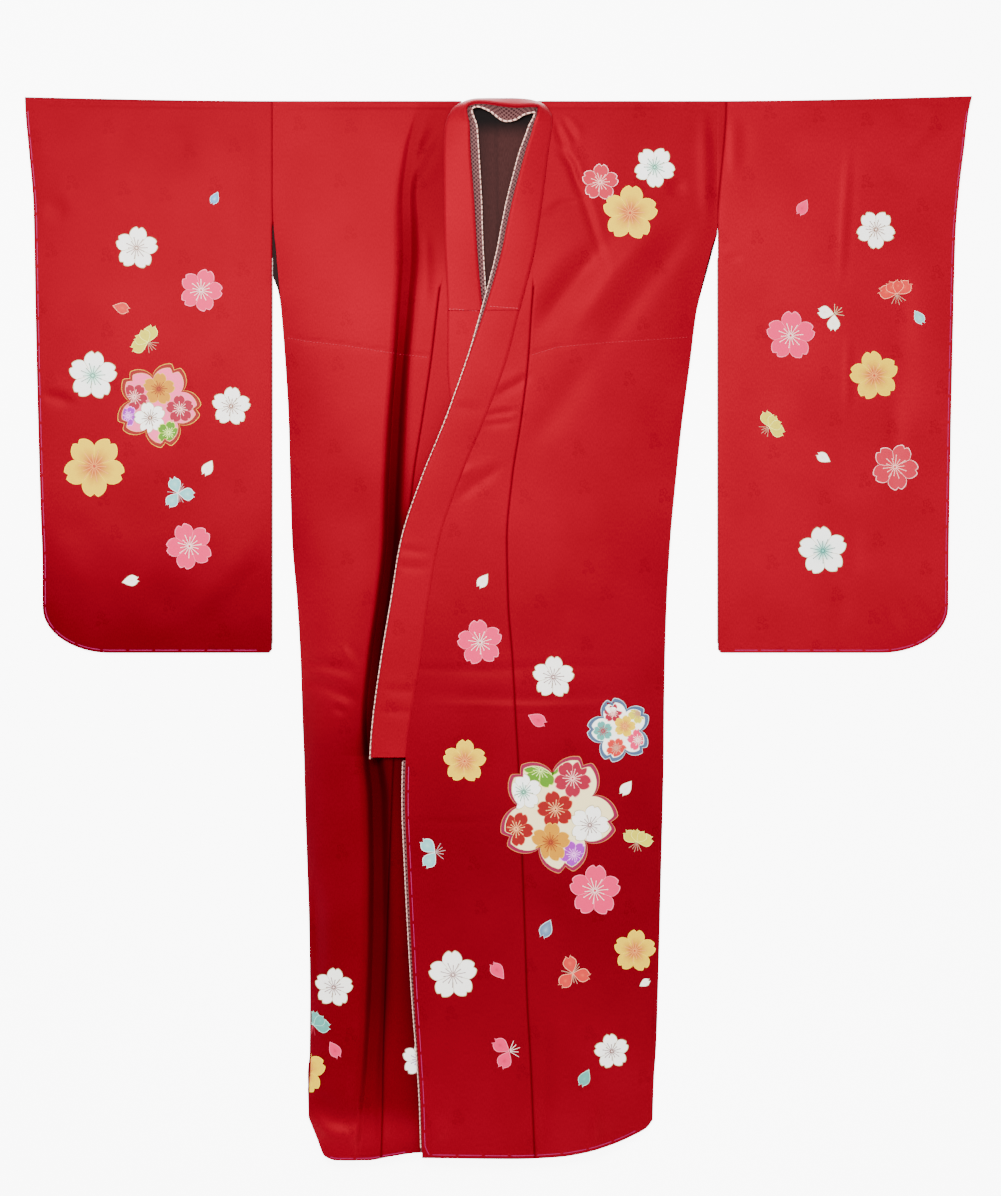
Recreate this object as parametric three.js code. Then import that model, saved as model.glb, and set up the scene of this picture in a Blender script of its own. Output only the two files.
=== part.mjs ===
// A child's lined kimono of red silk, laid flat with its front up and its left front over its right.
// Millimetres. +X points to the wearer's left, +Y to the shoulders and +Z up. The origin is under the
// middle of the outline, on the surface that the garment lies on.
// The pieces are those of the real cut: two body lengths that fold over the shoulders without a seam,
// two overlaps, two folded sleeves, one collar strip with its over-collar, and the lining that shows.
// "Down" is a distance below the shoulder fold, measured towards the hem.

import * as THREE from "three";

// Driving dimensions
const SHOULDER_Y = 685.75;
const CLOTH = 2;
const COLLAR_CLOTH = 2.4;
const OVER_COLLAR_CLOTH = 1.2;
const LINING_CLOTH = 1;
const SEAM_GAP = 0.3;
const BACK_LEVEL = CLOTH / 2;
const FRONT_LEVEL = CLOTH * 1.5 + SEAM_GAP;
const FOLD_RADIUS = (FRONT_LEVEL - BACK_LEVEL) / 2;
const HEM_DOWN = 1373;
const HEM_CURVE_START = 1190;
const NECK_DROP = 16;
const COLLAR_END = 854;
const COLLAR_RISE = 0.5;
const COLLAR_STAND = { height: 6, end: 230 }; // how far its free edge stands up, and where that ends
const LINING_DROP = 2.2; // how far the collar lining's edge lies below the collar's
const OVER_COLLAR_END = 274;
const LAYER_STEP = { height: 5.6, start: 5, end: 215 }; // left front above right, the collar between
const RIGHT_SHELF = 0.85; // height of the cloth inside the deep fold, as a share of the side panel's
const SWELL_POWER = 2.2; // how quickly the right front swells from its side seam
const FOLD_FLOOR = 0.25; // flat floor of the deep fold, as a share of its half width
const CROSSING_EDGE = 60; // the left front starts to fall to its side seam here
const BACK_LINING_END = 330;
const BACK_LINING_HALF = 60;
const EDGE_LINING = { shows: 4, showsAtHem: 1.6, narrowsFrom: 1000, width: 16, end: 1366 };
const ARMHOLE = { shows: 2.4, opens: [140, 200], closes: [215, 290] }; // back edge beside a sleeve
const SLEEVE_PUFF = 2.2;
const SLEEVE_CORNER = { across: 88, up: 60 };
const SLEEVE_BOTTOM = 719;
const SLEEVE_INNER_RISE = 4; // the inner bottom corner lies this far above the bottom seam
const SLEEVE_TOP_CURVE = 1.6; // power by which the top edge rises to the outer corner

// The two fronts, a row for each level. Side, seam and collar are the edges of the panels; free is the
// inner edge of the collar. Below the collar's end, collar is the front edge of the overlap.
const FRONTS = [
  { down: 0, rightSide: -294.1, rightSeam: -51, rightCollar: -46, rightFree: -40,
    leftFree: 50, leftCollar: 56, leftSeam: 53, leftSide: 284.9 },
  { down: 27, rightSide: -294.1, rightSeam: -71, rightCollar: -68.7, rightFree: -38,
    leftFree: 47, leftCollar: 69.3, leftSeam: 72.2, leftSide: 284.9 },
  { down: 65, rightSide: -294.1, rightSeam: -71.8, rightCollar: -71, rightFree: -36.8,
    leftFree: 36, leftCollar: 64.5, leftSeam: 65.4, leftSide: 284.9 },
  { down: 130, rightSide: -294.1, rightSeam: -70.8, rightCollar: -70.5, rightFree: -32,
    leftFree: 18.5, leftCollar: 56.7, leftSeam: 57, leftSide: 284.9 },
  { down: 165, rightSide: -292.5, rightSeam: -70.5, rightCollar: -70.2, rightFree: -30,
    leftFree: 10.9, leftCollar: 51.8, leftSeam: 52.4, leftSide: 284.9 },
  { down: 195, rightSide: -289.5, rightSeam: -71.5, rightCollar: -69.5, rightFree: -28,
    leftFree: 4.8, leftCollar: 47, leftSeam: 49.5, leftSide: 276.5 },
  { down: 273, rightSide: -282.8, rightSeam: -80, rightCollar: -66, rightFree: -21,
    leftFree: -17.7, leftCollar: 27.5, leftSeam: 43.2, leftSide: 258 },
  { down: 338, rightSide: -277.6, rightSeam: -87.5, rightCollar: -66.5, rightFree: -14,
    leftFree: -40, leftCollar: 10.8, leftSeam: 38.8, leftSide: 249.6 },
  { down: 416, rightSide: -273, rightSeam: -99, rightCollar: -59, rightFree: -3,
    leftFree: -68, leftCollar: -18, leftSeam: 29.6, leftSide: 239.2 },
  { down: 494, rightSide: -271, rightSeam: -111, rightCollar: -42, rightFree: 9,
    leftFree: -99.6, leftCollar: -50.5, leftSeam: 17.6, leftSide: 230.8 },
  { down: 572, rightSide: -268.5, rightSeam: -118, rightCollar: -28, rightFree: 22,
    leftFree: -125, leftCollar: -76.5, leftSeam: 11, leftSide: 223.6 },
  { down: 650, rightSide: -262, rightSeam: -124, rightCollar: -20, rightFree: 31,
    leftFree: -138, leftCollar: -90.6, leftSeam: 12.6, leftSide: 219 },
  { down: 728, rightSide: -257.4, rightSeam: -129, rightCollar: -9, rightFree: 41,
    leftFree: -151, leftCollar: -101, leftSeam: 18.4, leftSide: 216.5 },
  { down: 806, rightSide: -254.8, rightSeam: -133, rightCollar: 4, rightFree: 51,
    leftFree: -161.5, leftCollar: -114.6, leftSeam: 22.6, leftSide: 215.3 },
  { down: 854, rightSide: -252.9, rightSeam: -136, rightCollar: 12, rightFree: 58,
    leftFree: -165, leftCollar: -120.6, leftSeam: 25.4, leftSide: 215 },
  { down: 910, rightSide: -251.6, rightSeam: -138.5, rightCollar: 9.5, rightFree: 58,
    leftFree: -165, leftCollar: -121.6, leftSeam: 27.8, leftSide: 213.9 },
  { down: 988, rightSide: -249, rightSeam: -141, rightCollar: 7, rightFree: 58,
    leftFree: -165, leftCollar: -118.7, leftSeam: 31, leftSide: 211.9 },
  { down: 1066, rightSide: -246.4, rightSeam: -143.5, rightCollar: 4.5, rightFree: 58,
    leftFree: -165, leftCollar: -115, leftSeam: 33.8, leftSide: 210 },
  { down: 1170, rightSide: -245, rightSeam: -147, rightCollar: 1, rightFree: 58,
    leftFree: -165, leftCollar: -109.7, leftSeam: 37.3, leftSide: 207.2 },
  { down: 1248, rightSide: -245.7, rightSeam: -149.5, rightCollar: -1.5, rightFree: 58,
    leftFree: -165, leftCollar: -104.4, leftSeam: 41.7, leftSide: 204.8 },
  { down: 1300, rightSide: -248.3, rightSeam: -150.5, rightCollar: -2.5, rightFree: 58,
    leftFree: -165, leftCollar: -101.5, leftSeam: 44, leftSide: 202.5 },
  { down: 1373, rightSide: -247, rightSeam: -152.7, rightCollar: -4.7, rightFree: 58,
    leftFree: -165, leftCollar: -99.5, leftSeam: 47, leftSide: 200.6 },
];

// The deep fold down the right front, a row for each level: its middle, its half width, the height of
// the cloth beside it and its depth.
const DEEP_FOLD = [
  { down: 0, middle: -96, half: 10, puff: 0, cut: 0 },
  { down: 27, middle: -104, half: 10, puff: 2, cut: 0.6 },
  { down: 65, middle: -113, half: 11, puff: 4, cut: 2 },
  { down: 130, middle: -119.5, half: 13, puff: 6, cut: 4.5 },
  { down: 165, middle: -118.5, half: 14, puff: 7, cut: 5.2 },
  { down: 195, middle: -118, half: 14, puff: 8, cut: 6 },
  { down: 273, middle: -122.5, half: 13, puff: 11, cut: 8.5 },
  { down: 338, middle: -127.5, half: 12, puff: 14, cut: 12 },
  { down: 416, middle: -133, half: 13, puff: 16, cut: 15 },
  { down: 494, middle: -136.8, half: 13.5, puff: 16.5, cut: 16 },
  { down: 572, middle: -140, half: 12.5, puff: 16.5, cut: 16 },
  { down: 650, middle: -149, half: 12, puff: 16.5, cut: 16 },
  { down: 728, middle: -160, half: 12, puff: 16.5, cut: 16 },
  { down: 806, middle: -166, half: 13, puff: 16.5, cut: 16 },
  { down: 854, middle: -163, half: 14, puff: 16.5, cut: 16 },
  { down: 910, middle: -157, half: 15, puff: 16.5, cut: 15.5 },
  { down: 988, middle: -155.5, half: 15, puff: 16, cut: 15 },
  { down: 1066, middle: -155, half: 16, puff: 16, cut: 14 },
  { down: 1170, middle: -158, half: 16, puff: 14, cut: 11 },
  { down: 1248, middle: -163, half: 15, puff: 13, cut: 8.5 },
  { down: 1300, middle: -166, half: 17, puff: 12, cut: 5 },
  { down: 1373, middle: -170, half: 19, puff: 11.5, cut: 1.5 },
];

// The collar round the back of the neck, from the wearer's left to their right: its sewn edge, its free
// edge, and the corded edge of the lining that sags below it.
const NECK = [
  { sewn: [69, 20, 6], free: [50, 20, 13], edge: [45.5, 22, 10] },
  { sewn: [60, 8, 6], free: [51, 10, 17], edge: [47, 16.5, 12] },
  { sewn: [44, 1, 6], free: [42, 9, 19], edge: [35, 18.5, 13] },
  { sewn: [24, -1.5, 6], free: [23, 10, 18.5], edge: [20, 26, 10] },
  { sewn: [4, -1.6, 6], free: [4, 8, 18], edge: [6, 26.5, 9.5] },
  { sewn: [-16, -1.2, 6], free: [-14, 5, 18], edge: [-12, 14, 12] },
  { sewn: [-34, 0, 6], free: [-30, 4.5, 18], edge: [-28, 9, 14] },
  { sewn: [-46, 3.5, 6], free: [-39, 8, 17], edge: [-34.5, 12, 13] },
  { sewn: [-59, 11, 6], free: [-41, 14, 14.5], edge: [-33, 20, 11] },
];

// Width of the collar lining that shows past the collar's free edge.
const COLLAR_LINING = [
  { down: 27, right: 9, left: 6 },
  { down: 65, right: 11, left: 8.5 },
  { down: 195, right: 8, left: 7 },
  { down: 273, right: 6, left: 5 },
  { down: 338, right: 3, left: 1.8 },
  { down: 854, right: 3, left: 1.8 },
];

// The hem, which rises to both side seams.
const HEM_RIGHT = [
  { across: -248, down: 1321 },
  { across: -237, down: 1347 },
  { across: -225.6, down: 1373 },
  { across: -210, down: 1378 },
  { across: -171, down: 1378 },
  { across: -140, down: 1373 },
  { across: -104, down: 1368 },
  { across: 0, down: 1366 },
];
const HEM_LEFT = [
  { across: -100, down: 1374 },
  { across: 20, down: 1375.4 },
  { across: 78.7, down: 1372.8 },
  { across: 112.5, down: 1367.6 },
  { across: 149, down: 1357 },
  { across: 173.6, down: 1346.8 },
  { across: 193, down: 1336.4 },
  { across: 201, down: 1326 },
];

// The sleeves' outer edges, and how far their top corners lie above the shoulder.
const SLEEVE_RIGHT = {
  inner: -294.8,
  topRise: 5.2,
  outer: [
    { down: 0, across: -616.8 },
    { down: 23, across: -615.6 },
    { down: 65, across: -611.7 },
    { down: 143, across: -605.2 },
    { down: 273, across: -602.6 },
    { down: 390, across: -600 },
    { down: 533, across: -596 },
    { down: 611, across: -593.5 },
    { down: 719, across: -593.5 },
  ],
};
const SLEEVE_LEFT = {
  inner: 285.6,
  topRise: 6.5,
  outer: [
    { down: 0, across: 616.8 },
    { down: 23, across: 611.7 },
    { down: 65, across: 606.5 },
    { down: 117, across: 600 },
    { down: 182, across: 594.8 },
    { down: 325, across: 591 },
    { down: 455, across: 588.3 },
    { down: 650, across: 585.7 },
    { down: 719, across: 585.7 },
  ],
};

// The widest soft folds besides the deep one: troughs and ridges from one point to another, with the
// greatest height in their middle. Each lies on one piece.
const SOFT_FOLDS = {
  left: [
    { name: "shoulder drag", from: [50, 285], to: [150, 175], half: 17, height: -2.6 },
    { name: "side drag", from: [125, 330], to: [250, 165], half: 20, height: -2.8 },
    { name: "ridge between drags", from: [95, 320], to: [215, 165], half: 16, height: 1.8 },
    { name: "underarm ridge", from: [268, 20], to: [274, 165], half: 9, height: 1.8 },
    { name: "skirt ridge", from: [130, 1290], to: [120, 1366], half: 22, height: 1.6 },
  ],
  right: [
    { name: "hem trough", from: [-246, 1300], to: [-178, 1352], half: 17, height: -2.6 },
    { name: "hem ridge", from: [-190, 1318], to: [-140, 1330], half: 15, height: 2.6 },
    { name: "neck gather", from: [-80, 50], to: [-118, 125], half: 13, height: -1.6 },
  ],
  sleeveRight: [
    { name: "sweep to the corner", from: [-315, 570], to: [-420, 690], half: 26, height: 1.4 },
    { name: "cuff crease", from: [-596, 385], to: [-545, 397], half: 14, height: -1.2 },
  ],
  sleeveLeft: [
    { name: "cuff drag", from: [535, 95], to: [600, 20], half: 20, height: -1.6 },
    { name: "long ridge", from: [456, 70], to: [448, 300], half: 9, height: 1.5 },
    { name: "long trough", from: [528, 300], to: [512, 620], half: 17, height: -1.6 },
  ],
};

// A value between rows of a table, on a smooth curve that goes past no row.
function between(rows, key, name, at) {
  const last = rows.length - 1;
  let i = 0;
  while (i < last - 1 && at > rows[i + 1][key]) i += 1;
  const secant = (k) => (rows[k + 1][name] - rows[k][name]) / (rows[k + 1][key] - rows[k][key]);
  const slopeAt = (k) => {
    if (k === 0) return secant(0);
    if (k === last) return secant(last - 1);
    const before = secant(k - 1);
    const after = secant(k);
    return before * after > 0 ? (2 * before * after) / (before + after) : 0;
  };
  const step = rows[i + 1][key] - rows[i][key];
  const t = THREE.MathUtils.clamp((at - rows[i][key]) / step, 0, 1);
  const rise = rows[i + 1][name] - rows[i][name];
  const start = slopeAt(i) * step;
  const end = slopeAt(i + 1) * step;
  return rows[i][name] + t * (start + t * (3 * rise - 2 * start - end + t * (start + end - 2 * rise)));
}

const front = (name, down) => between(FRONTS, "down", name, down);
const deepFold = (name, down) => between(DEEP_FOLD, "down", name, down);
const ease = THREE.MathUtils.smoothstep;
const mix = THREE.MathUtils.lerp;

// Height that a list of soft folds adds at a point.
function folded(folds, across, down) {
  let height = 0;
  for (const fold of folds) {
    const [x0, d0] = fold.from;
    const along = [fold.to[0] - x0, fold.to[1] - d0];
    const length = Math.hypot(...along);
    const t = ((across - x0) * along[0] + (down - d0) * along[1]) / length ** 2;
    const aside = ((across - x0) * along[1] - (down - d0) * along[0]) / length / fold.half;
    const taper = ease(t, -0.15, 0.3) * (1 - ease(t, 0.7, 1.15));
    height += fold.height * taper * Math.exp(-aside * aside);
  }
  return height;
}

// Middle level of the right front and its overlap: it swells from the side seam, drops into the deep
// fold, and lies level from there on under the left front.
function rightLevel(across, down) {
  const puff = deepFold("puff", down);
  const middle = deepFold("middle", down);
  const half = deepFold("half", down);
  const side = front("rightSide", down);
  const toRim = THREE.MathUtils.clamp((across - side) / (middle - half - side), 0, 1);
  const swell = across < middle ? 1 - (1 - toRim) ** SWELL_POWER : RIGHT_SHELF;
  const shape = ease(Math.abs(across - middle) / half, FOLD_FLOOR, 1);
  const floor = puff - deepFold("cut", down);
  const height = floor + (puff * swell - floor) * shape;
  const soft = folded(SOFT_FOLDS.right, across, down);
  return FRONT_LEVEL + Math.max(height + soft * ease(puff, 0, 4), 0);
}

// Middle level of the left front and its overlap: level where it lies over the right one, and falling
// from there to its side seam.
function leftLevel(across, down) {
  const step = LAYER_STEP.height * ease(down, LAYER_STEP.start, LAYER_STEP.end);
  const top = deepFold("puff", down) * RIGHT_SHELF + step;
  const toSide = (across - CROSSING_EDGE) / (front("leftSide", down) - CROSSING_EDGE);
  const swell = 1 - THREE.MathUtils.clamp(toSide, 0, 1) ** 2;
  const soft = folded(SOFT_FOLDS.left, across, down) * ease(swell, 0, 0.12);
  return FRONT_LEVEL + Math.max(top * swell + soft, 0);
}

// A closed wall of even thickness on a surface, sampled at the given columns and rows. Lift moves the
// whole wall out along the surface's normal.
function wall(surface, columns, rows, thickness, lift = 0) {
  const positions = [];
  const point = (u, v) => new THREE.Vector3(...surface(u, v));
  const nudge = 1e-3;
  const slope = (u, v, alongU) => {
    const list = alongU ? columns : rows;
    const value = alongU ? u : v;
    const low = Math.max(value - nudge, list[0]);
    const high = Math.min(value + nudge, list[list.length - 1]);
    const a = alongU ? point(low, v) : point(u, low);
    const b = alongU ? point(high, v) : point(u, high);
    return b.sub(a);
  };
  const sides = [lift + thickness / 2, lift - thickness / 2].map((offset) =>
    rows.map((v) =>
      columns.map((u) => {
        const normal = slope(u, v, true).cross(slope(u, v, false)).normalize();
        return point(u, v).addScaledVector(normal, offset);
      }),
    ),
  );
  const face = (...corners) => corners.forEach((corner) => positions.push(...corner.toArray()));
  const quad = (a, b, c, d) => {
    face(a, b, c);
    face(a, c, d);
  };
  const [top, under] = sides;
  const lastRow = rows.length - 1;
  const lastColumn = columns.length - 1;
  for (let j = 0; j < lastRow; j += 1) {
    for (let i = 0; i < lastColumn; i += 1) {
      quad(top[j][i], top[j][i + 1], top[j + 1][i + 1], top[j + 1][i]);
      quad(under[j][i], under[j + 1][i], under[j + 1][i + 1], under[j][i + 1]);
    }
    quad(top[j][0], top[j + 1][0], under[j + 1][0], under[j][0]);
    quad(top[j][lastColumn], under[j][lastColumn], under[j + 1][lastColumn], top[j + 1][lastColumn]);
  }
  for (let i = 0; i < lastColumn; i += 1) {
    quad(top[0][i], under[0][i], under[0][i + 1], top[0][i + 1]);
    quad(top[lastRow][i], top[lastRow][i + 1], under[lastRow][i + 1], under[lastRow][i]);
  }
  const geometry = new THREE.BufferGeometry();
  geometry.setAttribute("position", new THREE.Float32BufferAttribute(positions, 3));
  geometry.computeVertexNormals();
  return geometry;
}

// Levels below the shoulder for the rows of a panel, close together where the outline turns.
function levels(from, to, step) {
  const count = Math.max(Math.round(Math.abs(to - from) / step), 1);
  return Array.from({ length: count + 1 }, (_, i) => mix(from, to, i / count));
}

// A length of cloth folded at the shoulder: rows run up the back, over the fold and down the front.
// A row is a signed length from the top of the fold, negative on the back.
const HALF_TURN = (FOLD_RADIUS * Math.PI) / 2;
function overShoulder(signed) {
  const turned = THREE.MathUtils.clamp(signed / HALF_TURN, -1, 1);
  const angle = (turned * Math.PI) / 2;
  const past = Math.max(Math.abs(signed) - HALF_TURN, 0);
  return {
    down: CLOTH / 2 + FOLD_RADIUS * (1 - Math.cos(angle)) + past,
    level: (BACK_LEVEL + FRONT_LEVEL) / 2 + FOLD_RADIUS * Math.sin(angle),
    onFront: signed > HALF_TURN,
    onBack: signed < -HALF_TURN,
  };
}

function shoulderRows(backLevels, frontLevels) {
  const turn = [-1, -0.6, -0.2, 0.2, 0.6, 1].map((share) => share * HALF_TURN);
  const past = HALF_TURN - CLOTH / 2 - FOLD_RADIUS;
  return [
    ...backLevels.map((down) => -(down + past)).reverse(),
    ...turn,
    ...frontLevels.map((down) => down + past),
  ];
}

// How far down a point of a body panel lies once the hem's curve has drawn it up.
function withHem(hem, across, down) {
  const drawn = ease(down, HEM_CURVE_START, HEM_DOWN);
  const rise = HEM_DOWN - between(hem, "across", "down", across);
  return down - rise * drawn;
}

// Columns of the right front at one level, from the side seam over the deep fold to the inner edge.
const RIM_SHARES = [0, 0.1, 0.3, 0.6, 0.85];
const WALL_SHARES = [-1, -0.65, -0.3, 0];
const RIGHT_COLUMNS = Array.from({ length: RIM_SHARES.length + WALL_SHARES.length + 5 }, (_, i) => i);
function rightColumns(down) {
  const side = front("rightSide", down);
  const middle = deepFold("middle", down);
  const half = deepFold("half", down);
  const inner = front("rightSeam", down) - SEAM_GAP / 2;
  const span = inner - middle;
  const near = Math.min(0.3 * half, 0.2 * span);
  const wallFoot = Math.min(0.65 * half, 0.45 * span);
  const rim = Math.min(half, 0.75 * span);
  return [
    ...RIM_SHARES.map((share) => mix(side, middle - half, share)),
    ...WALL_SHARES.map((share) => middle + share * half),
    middle + near,
    middle + wallFoot,
    middle + rim,
    middle + (rim + span) / 2,
    inner,
  ];
}

const LEFT_SHARES = [0, 0.07, 0.18, 0.32, 0.48, 0.64, 0.82, 1];
function leftColumns(down) {
  const side = front("leftSide", down);
  const inner = front("leftSeam", down) + SEAM_GAP / 2;
  return LEFT_SHARES.map((share) => mix(side, inner, share));
}

// A value part way between two entries of a list.
function atColumn(list, u) {
  const i = Math.min(Math.floor(u), list.length - 2);
  return mix(list[i], list[i + 1], u - i);
}

// One body length, side seam to centre back seam, folded over the shoulder.
function bodyLength(columnsAt, level, hem, direction) {
  const atFold = columnsAt(0);
  const side = atFold[0];
  const neck = atFold[atFold.length - 1];
  return (u, signed) => {
    const { down, level: foldLevel, onFront, onBack } = overShoulder(signed);
    if (onFront) {
      const across = atColumn(columnsAt(down), u);
      const lower = withHem(hem, across, down);
      return [across, SHOULDER_Y - lower, level(across, lower)];
    }
    const share = (atColumn(atFold, u) - side) / (neck - side);
    const cut = Math.sqrt(Math.max(1 - (down / NECK_DROP) ** 2, 0));
    const centre = onBack ? direction * (SEAM_GAP / 2 + Math.abs(neck) * cut) : neck;
    const open = ease(down, ...ARMHOLE.opens) * (1 - ease(down, ...ARMHOLE.closes));
    const armhole = onBack ? direction * ARMHOLE.shows * open : 0;
    const across = mix(columnsAt(down)[0] + armhole, centre, share);
    const lower = withHem(hem, across, down);
    return [across, SHOULDER_Y - lower, foldLevel];
  };
}

const BACK_NECK_LEVELS = [4, 8, 12, 15.9];
const BACK_SKIRT_LEVELS = [520, 680, 880, 1080, 1190, 1250, 1300, 1340, HEM_DOWN];
const BACK_LEVELS = [...BACK_NECK_LEVELS, 40, 110, 160, 200, 240, 300, 400, ...BACK_SKIRT_LEVELS];
const CHEST_LEVELS = [31, 45, 65, 95, 130, 165, 195, 234];
const CROSSING_LEVELS = levels(OVER_COLLAR_END, COLLAR_END, 29);
const SKIRT_LEVELS = [...levels(895, 1190, 42), 1225, 1255, 1280, 1305, 1330, 1352, HEM_DOWN];
const FRONT_LEVELS = [6, 14, 22, ...CHEST_LEVELS, ...CROSSING_LEVELS, ...SKIRT_LEVELS];
const BODY_ROWS = shoulderRows(BACK_LEVELS, FRONT_LEVELS);

function bodyRight() {
  const surface = bodyLength(rightColumns, rightLevel, HEM_RIGHT, -1);
  return wall(surface, RIGHT_COLUMNS, BODY_ROWS, CLOTH);
}

function bodyLeft() {
  const surface = bodyLength(leftColumns, leftLevel, HEM_LEFT, 1);
  const columns = LEFT_SHARES.map((_, i) => i);
  return wall((u, v) => surface(columns.length - 1 - u, v), columns, BODY_ROWS, CLOTH);
}

// An overlap runs from the seam with its front to the collar, and below the collar to its free edge.
const OVERLAP_LEVELS = [205, 234, ...CROSSING_LEVELS, ...SKIRT_LEVELS];
const OVERLAP_SHARES = [0, 0.07, 0.18, 0.4, 0.7, 1];
function overlapRight() {
  const surface = (share, down) => {
    const seam = front("rightSeam", down) + SEAM_GAP / 2;
    const across = mix(seam, front("rightCollar", down) - SEAM_GAP, share);
    const lower = withHem(HEM_RIGHT, across, down);
    return [across, SHOULDER_Y - lower, rightLevel(across, lower)];
  };
  return wall(surface, OVERLAP_SHARES, OVERLAP_LEVELS, CLOTH);
}

function overlapLeft() {
  const surface = (share, down) => {
    const seam = front("leftSeam", down) - SEAM_GAP / 2;
    const across = mix(front("leftCollar", down) + SEAM_GAP, seam, share);
    const lower = withHem(HEM_LEFT, across, down);
    return [across, SHOULDER_Y - lower, leftLevel(across, lower)];
  };
  return wall(surface, [0, 0.25, 0.5, 0.75, 1], OVERLAP_LEVELS, CLOTH);
}

// A sleeve is one length folded at its top. Its outer bottom corner is round.
const SLEEVE_SHARES = [0, 0.015, 0.12, 0.27, 0.43, 0.59, 0.73, 0.83, 0.91, 0.965, 1];
const SLEEVE_LEVELS = [5, 20, 45, 80, 120, ...levels(165, 640, 47), 680, 719];
const SLEEVE_BACK_LEVELS = [20, 65, 143, 273, 390, 533, 640, 719];
function sleeve(cut, folds) {
  const width = (down) => between(cut.outer, "down", "across", down) - cut.inner;
  const surface = (share, signed) => {
    const { down, level, onFront } = overShoulder(signed);
    const fromEdge = Math.abs(width(down)) * (1 - share);
    const round = THREE.MathUtils.clamp(1 - fromEdge / SLEEVE_CORNER.across, 0, 1);
    const cornerRise = SLEEVE_CORNER.up * (1 - Math.sqrt(1 - Math.min(round, 0.9999) ** 2));
    const innerRise = SLEEVE_INNER_RISE * (1 - ease(share, 0, SLEEVE_SHARES[1]));
    const drawn = (down / SLEEVE_BOTTOM) ** 3;
    const lower = down - (cornerRise + innerRise) * drawn;
    const raised = cut.topRise * share ** SLEEVE_TOP_CURVE * (1 - down / SLEEVE_BOTTOM);
    const across = cut.inner + width(Math.max(lower, 0)) * share;
    if (!onFront) return [across, SHOULDER_Y - lower + raised, level];
    const archAcross = Math.sin(Math.PI * share);
    const archAlong = Math.sin(Math.PI * THREE.MathUtils.clamp(down / SLEEVE_BOTTOM, 0, 1));
    const puff = SLEEVE_PUFF * Math.sqrt(Math.max(archAcross * archAlong, 0));
    const inside = ease(archAcross, 0, 0.2) * ease(archAlong, 0, 0.2);
    const soft = folded(folds, across, lower) * inside;
    return [across, SHOULDER_Y - lower + raised, level + Math.max(puff + soft, 0)];
  };
  const rows = shoulderRows(SLEEVE_BACK_LEVELS, SLEEVE_LEVELS);
  const mirrored = cut.inner > 0;
  const last = SLEEVE_SHARES.length - 1;
  const columns = mirrored ? SLEEVE_SHARES : SLEEVE_SHARES.map((_, i) => 1 - SLEEVE_SHARES[last - i]);
  const turned = mirrored ? surface : (share, v) => surface(1 - share, v);
  return wall(turned, columns, rows, CLOTH);
}

// Stations along the collar: up the left front, round the neck and down the right front.
function collarStations() {
  const frontRow = (isLeft, down) => {
    const level = isLeft ? leftLevel : rightLevel;
    const sewn = front(isLeft ? "leftCollar" : "rightCollar", down);
    const free = front(isLeft ? "leftFree" : "rightFree", down);
    const shows = between(COLLAR_LINING, "down", isLeft ? "left" : "right", down);
    const edge = free + (isLeft ? -shows : shows);
    const edgeDown = down + (isLeft ? 2 : 1);
    const stand = COLLAR_STAND.height * (1 - ease(down, 0, COLLAR_STAND.end));
    const base = level(sewn, down) + COLLAR_RISE;
    const freeLevel = Math.max(level(free, down), level(sewn, down)) + COLLAR_RISE + stand;
    return {
      sewn: [sewn, down, base],
      free: [free, down, freeLevel],
      edge: [edge, edgeDown, freeLevel - LINING_DROP],
    };
  };
  const downs = [...CHEST_LEVELS, ...CROSSING_LEVELS];
  return [
    ...downs.map((down) => frontRow(true, down)).reverse(),
    ...NECK,
    ...downs.map((down) => frontRow(false, down)),
  ];
}

const STATIONS = collarStations();
const collarCurve = (name) =>
  new THREE.CatmullRomCurve3(
    STATIONS.map((station) => {
      const [across, down, level] = station[name];
      return new THREE.Vector3(across, SHOULDER_Y - down, level);
    }),
  );
const SEWN_EDGE = collarCurve("sewn");
const FREE_EDGE = collarCurve("free");
const CORDED_EDGE = collarCurve("edge");

function collarSurface(share, along) {
  const free = FREE_EDGE.getPoint(along);
  const sewn = SEWN_EDGE.getPoint(along);
  return free.lerp(sewn, share).toArray();
}

// Rows along the collar: one at each station, and one between them round the neck.
const COLLAR_SHARES = [0, 0.5, 1];
const LINING_TUCK = 0.08; // how far under the collar its lining starts, as a share of its width
const NECK_START = CROSSING_LEVELS.length + 5;
const NECK_END = STATIONS.length - 1 - NECK_START;
const COLLAR_ROWS = STATIONS.flatMap((_, i) => {
  const nearNeck = i >= NECK_START && i < NECK_END;
  const places = nearNeck ? [i, i + 0.5] : [i];
  return places.map((place) => place / (STATIONS.length - 1));
});

function collar() {
  return wall(collarSurface, COLLAR_SHARES, COLLAR_ROWS, COLLAR_CLOTH);
}

// The over-collar lies on the collar, from chest to chest round the neck.
function overCollar() {
  const end = (CROSSING_LEVELS.length - 1) / (STATIONS.length - 1);
  const rows = COLLAR_ROWS.filter((row) => row > end - 1e-6 && row < 1 - end + 1e-6);
  const lift = (COLLAR_CLOTH + OVER_COLLAR_CLOTH) / 2 + SEAM_GAP;
  return wall(collarSurface, COLLAR_SHARES, rows, OVER_COLLAR_CLOTH, lift);
}

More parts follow.
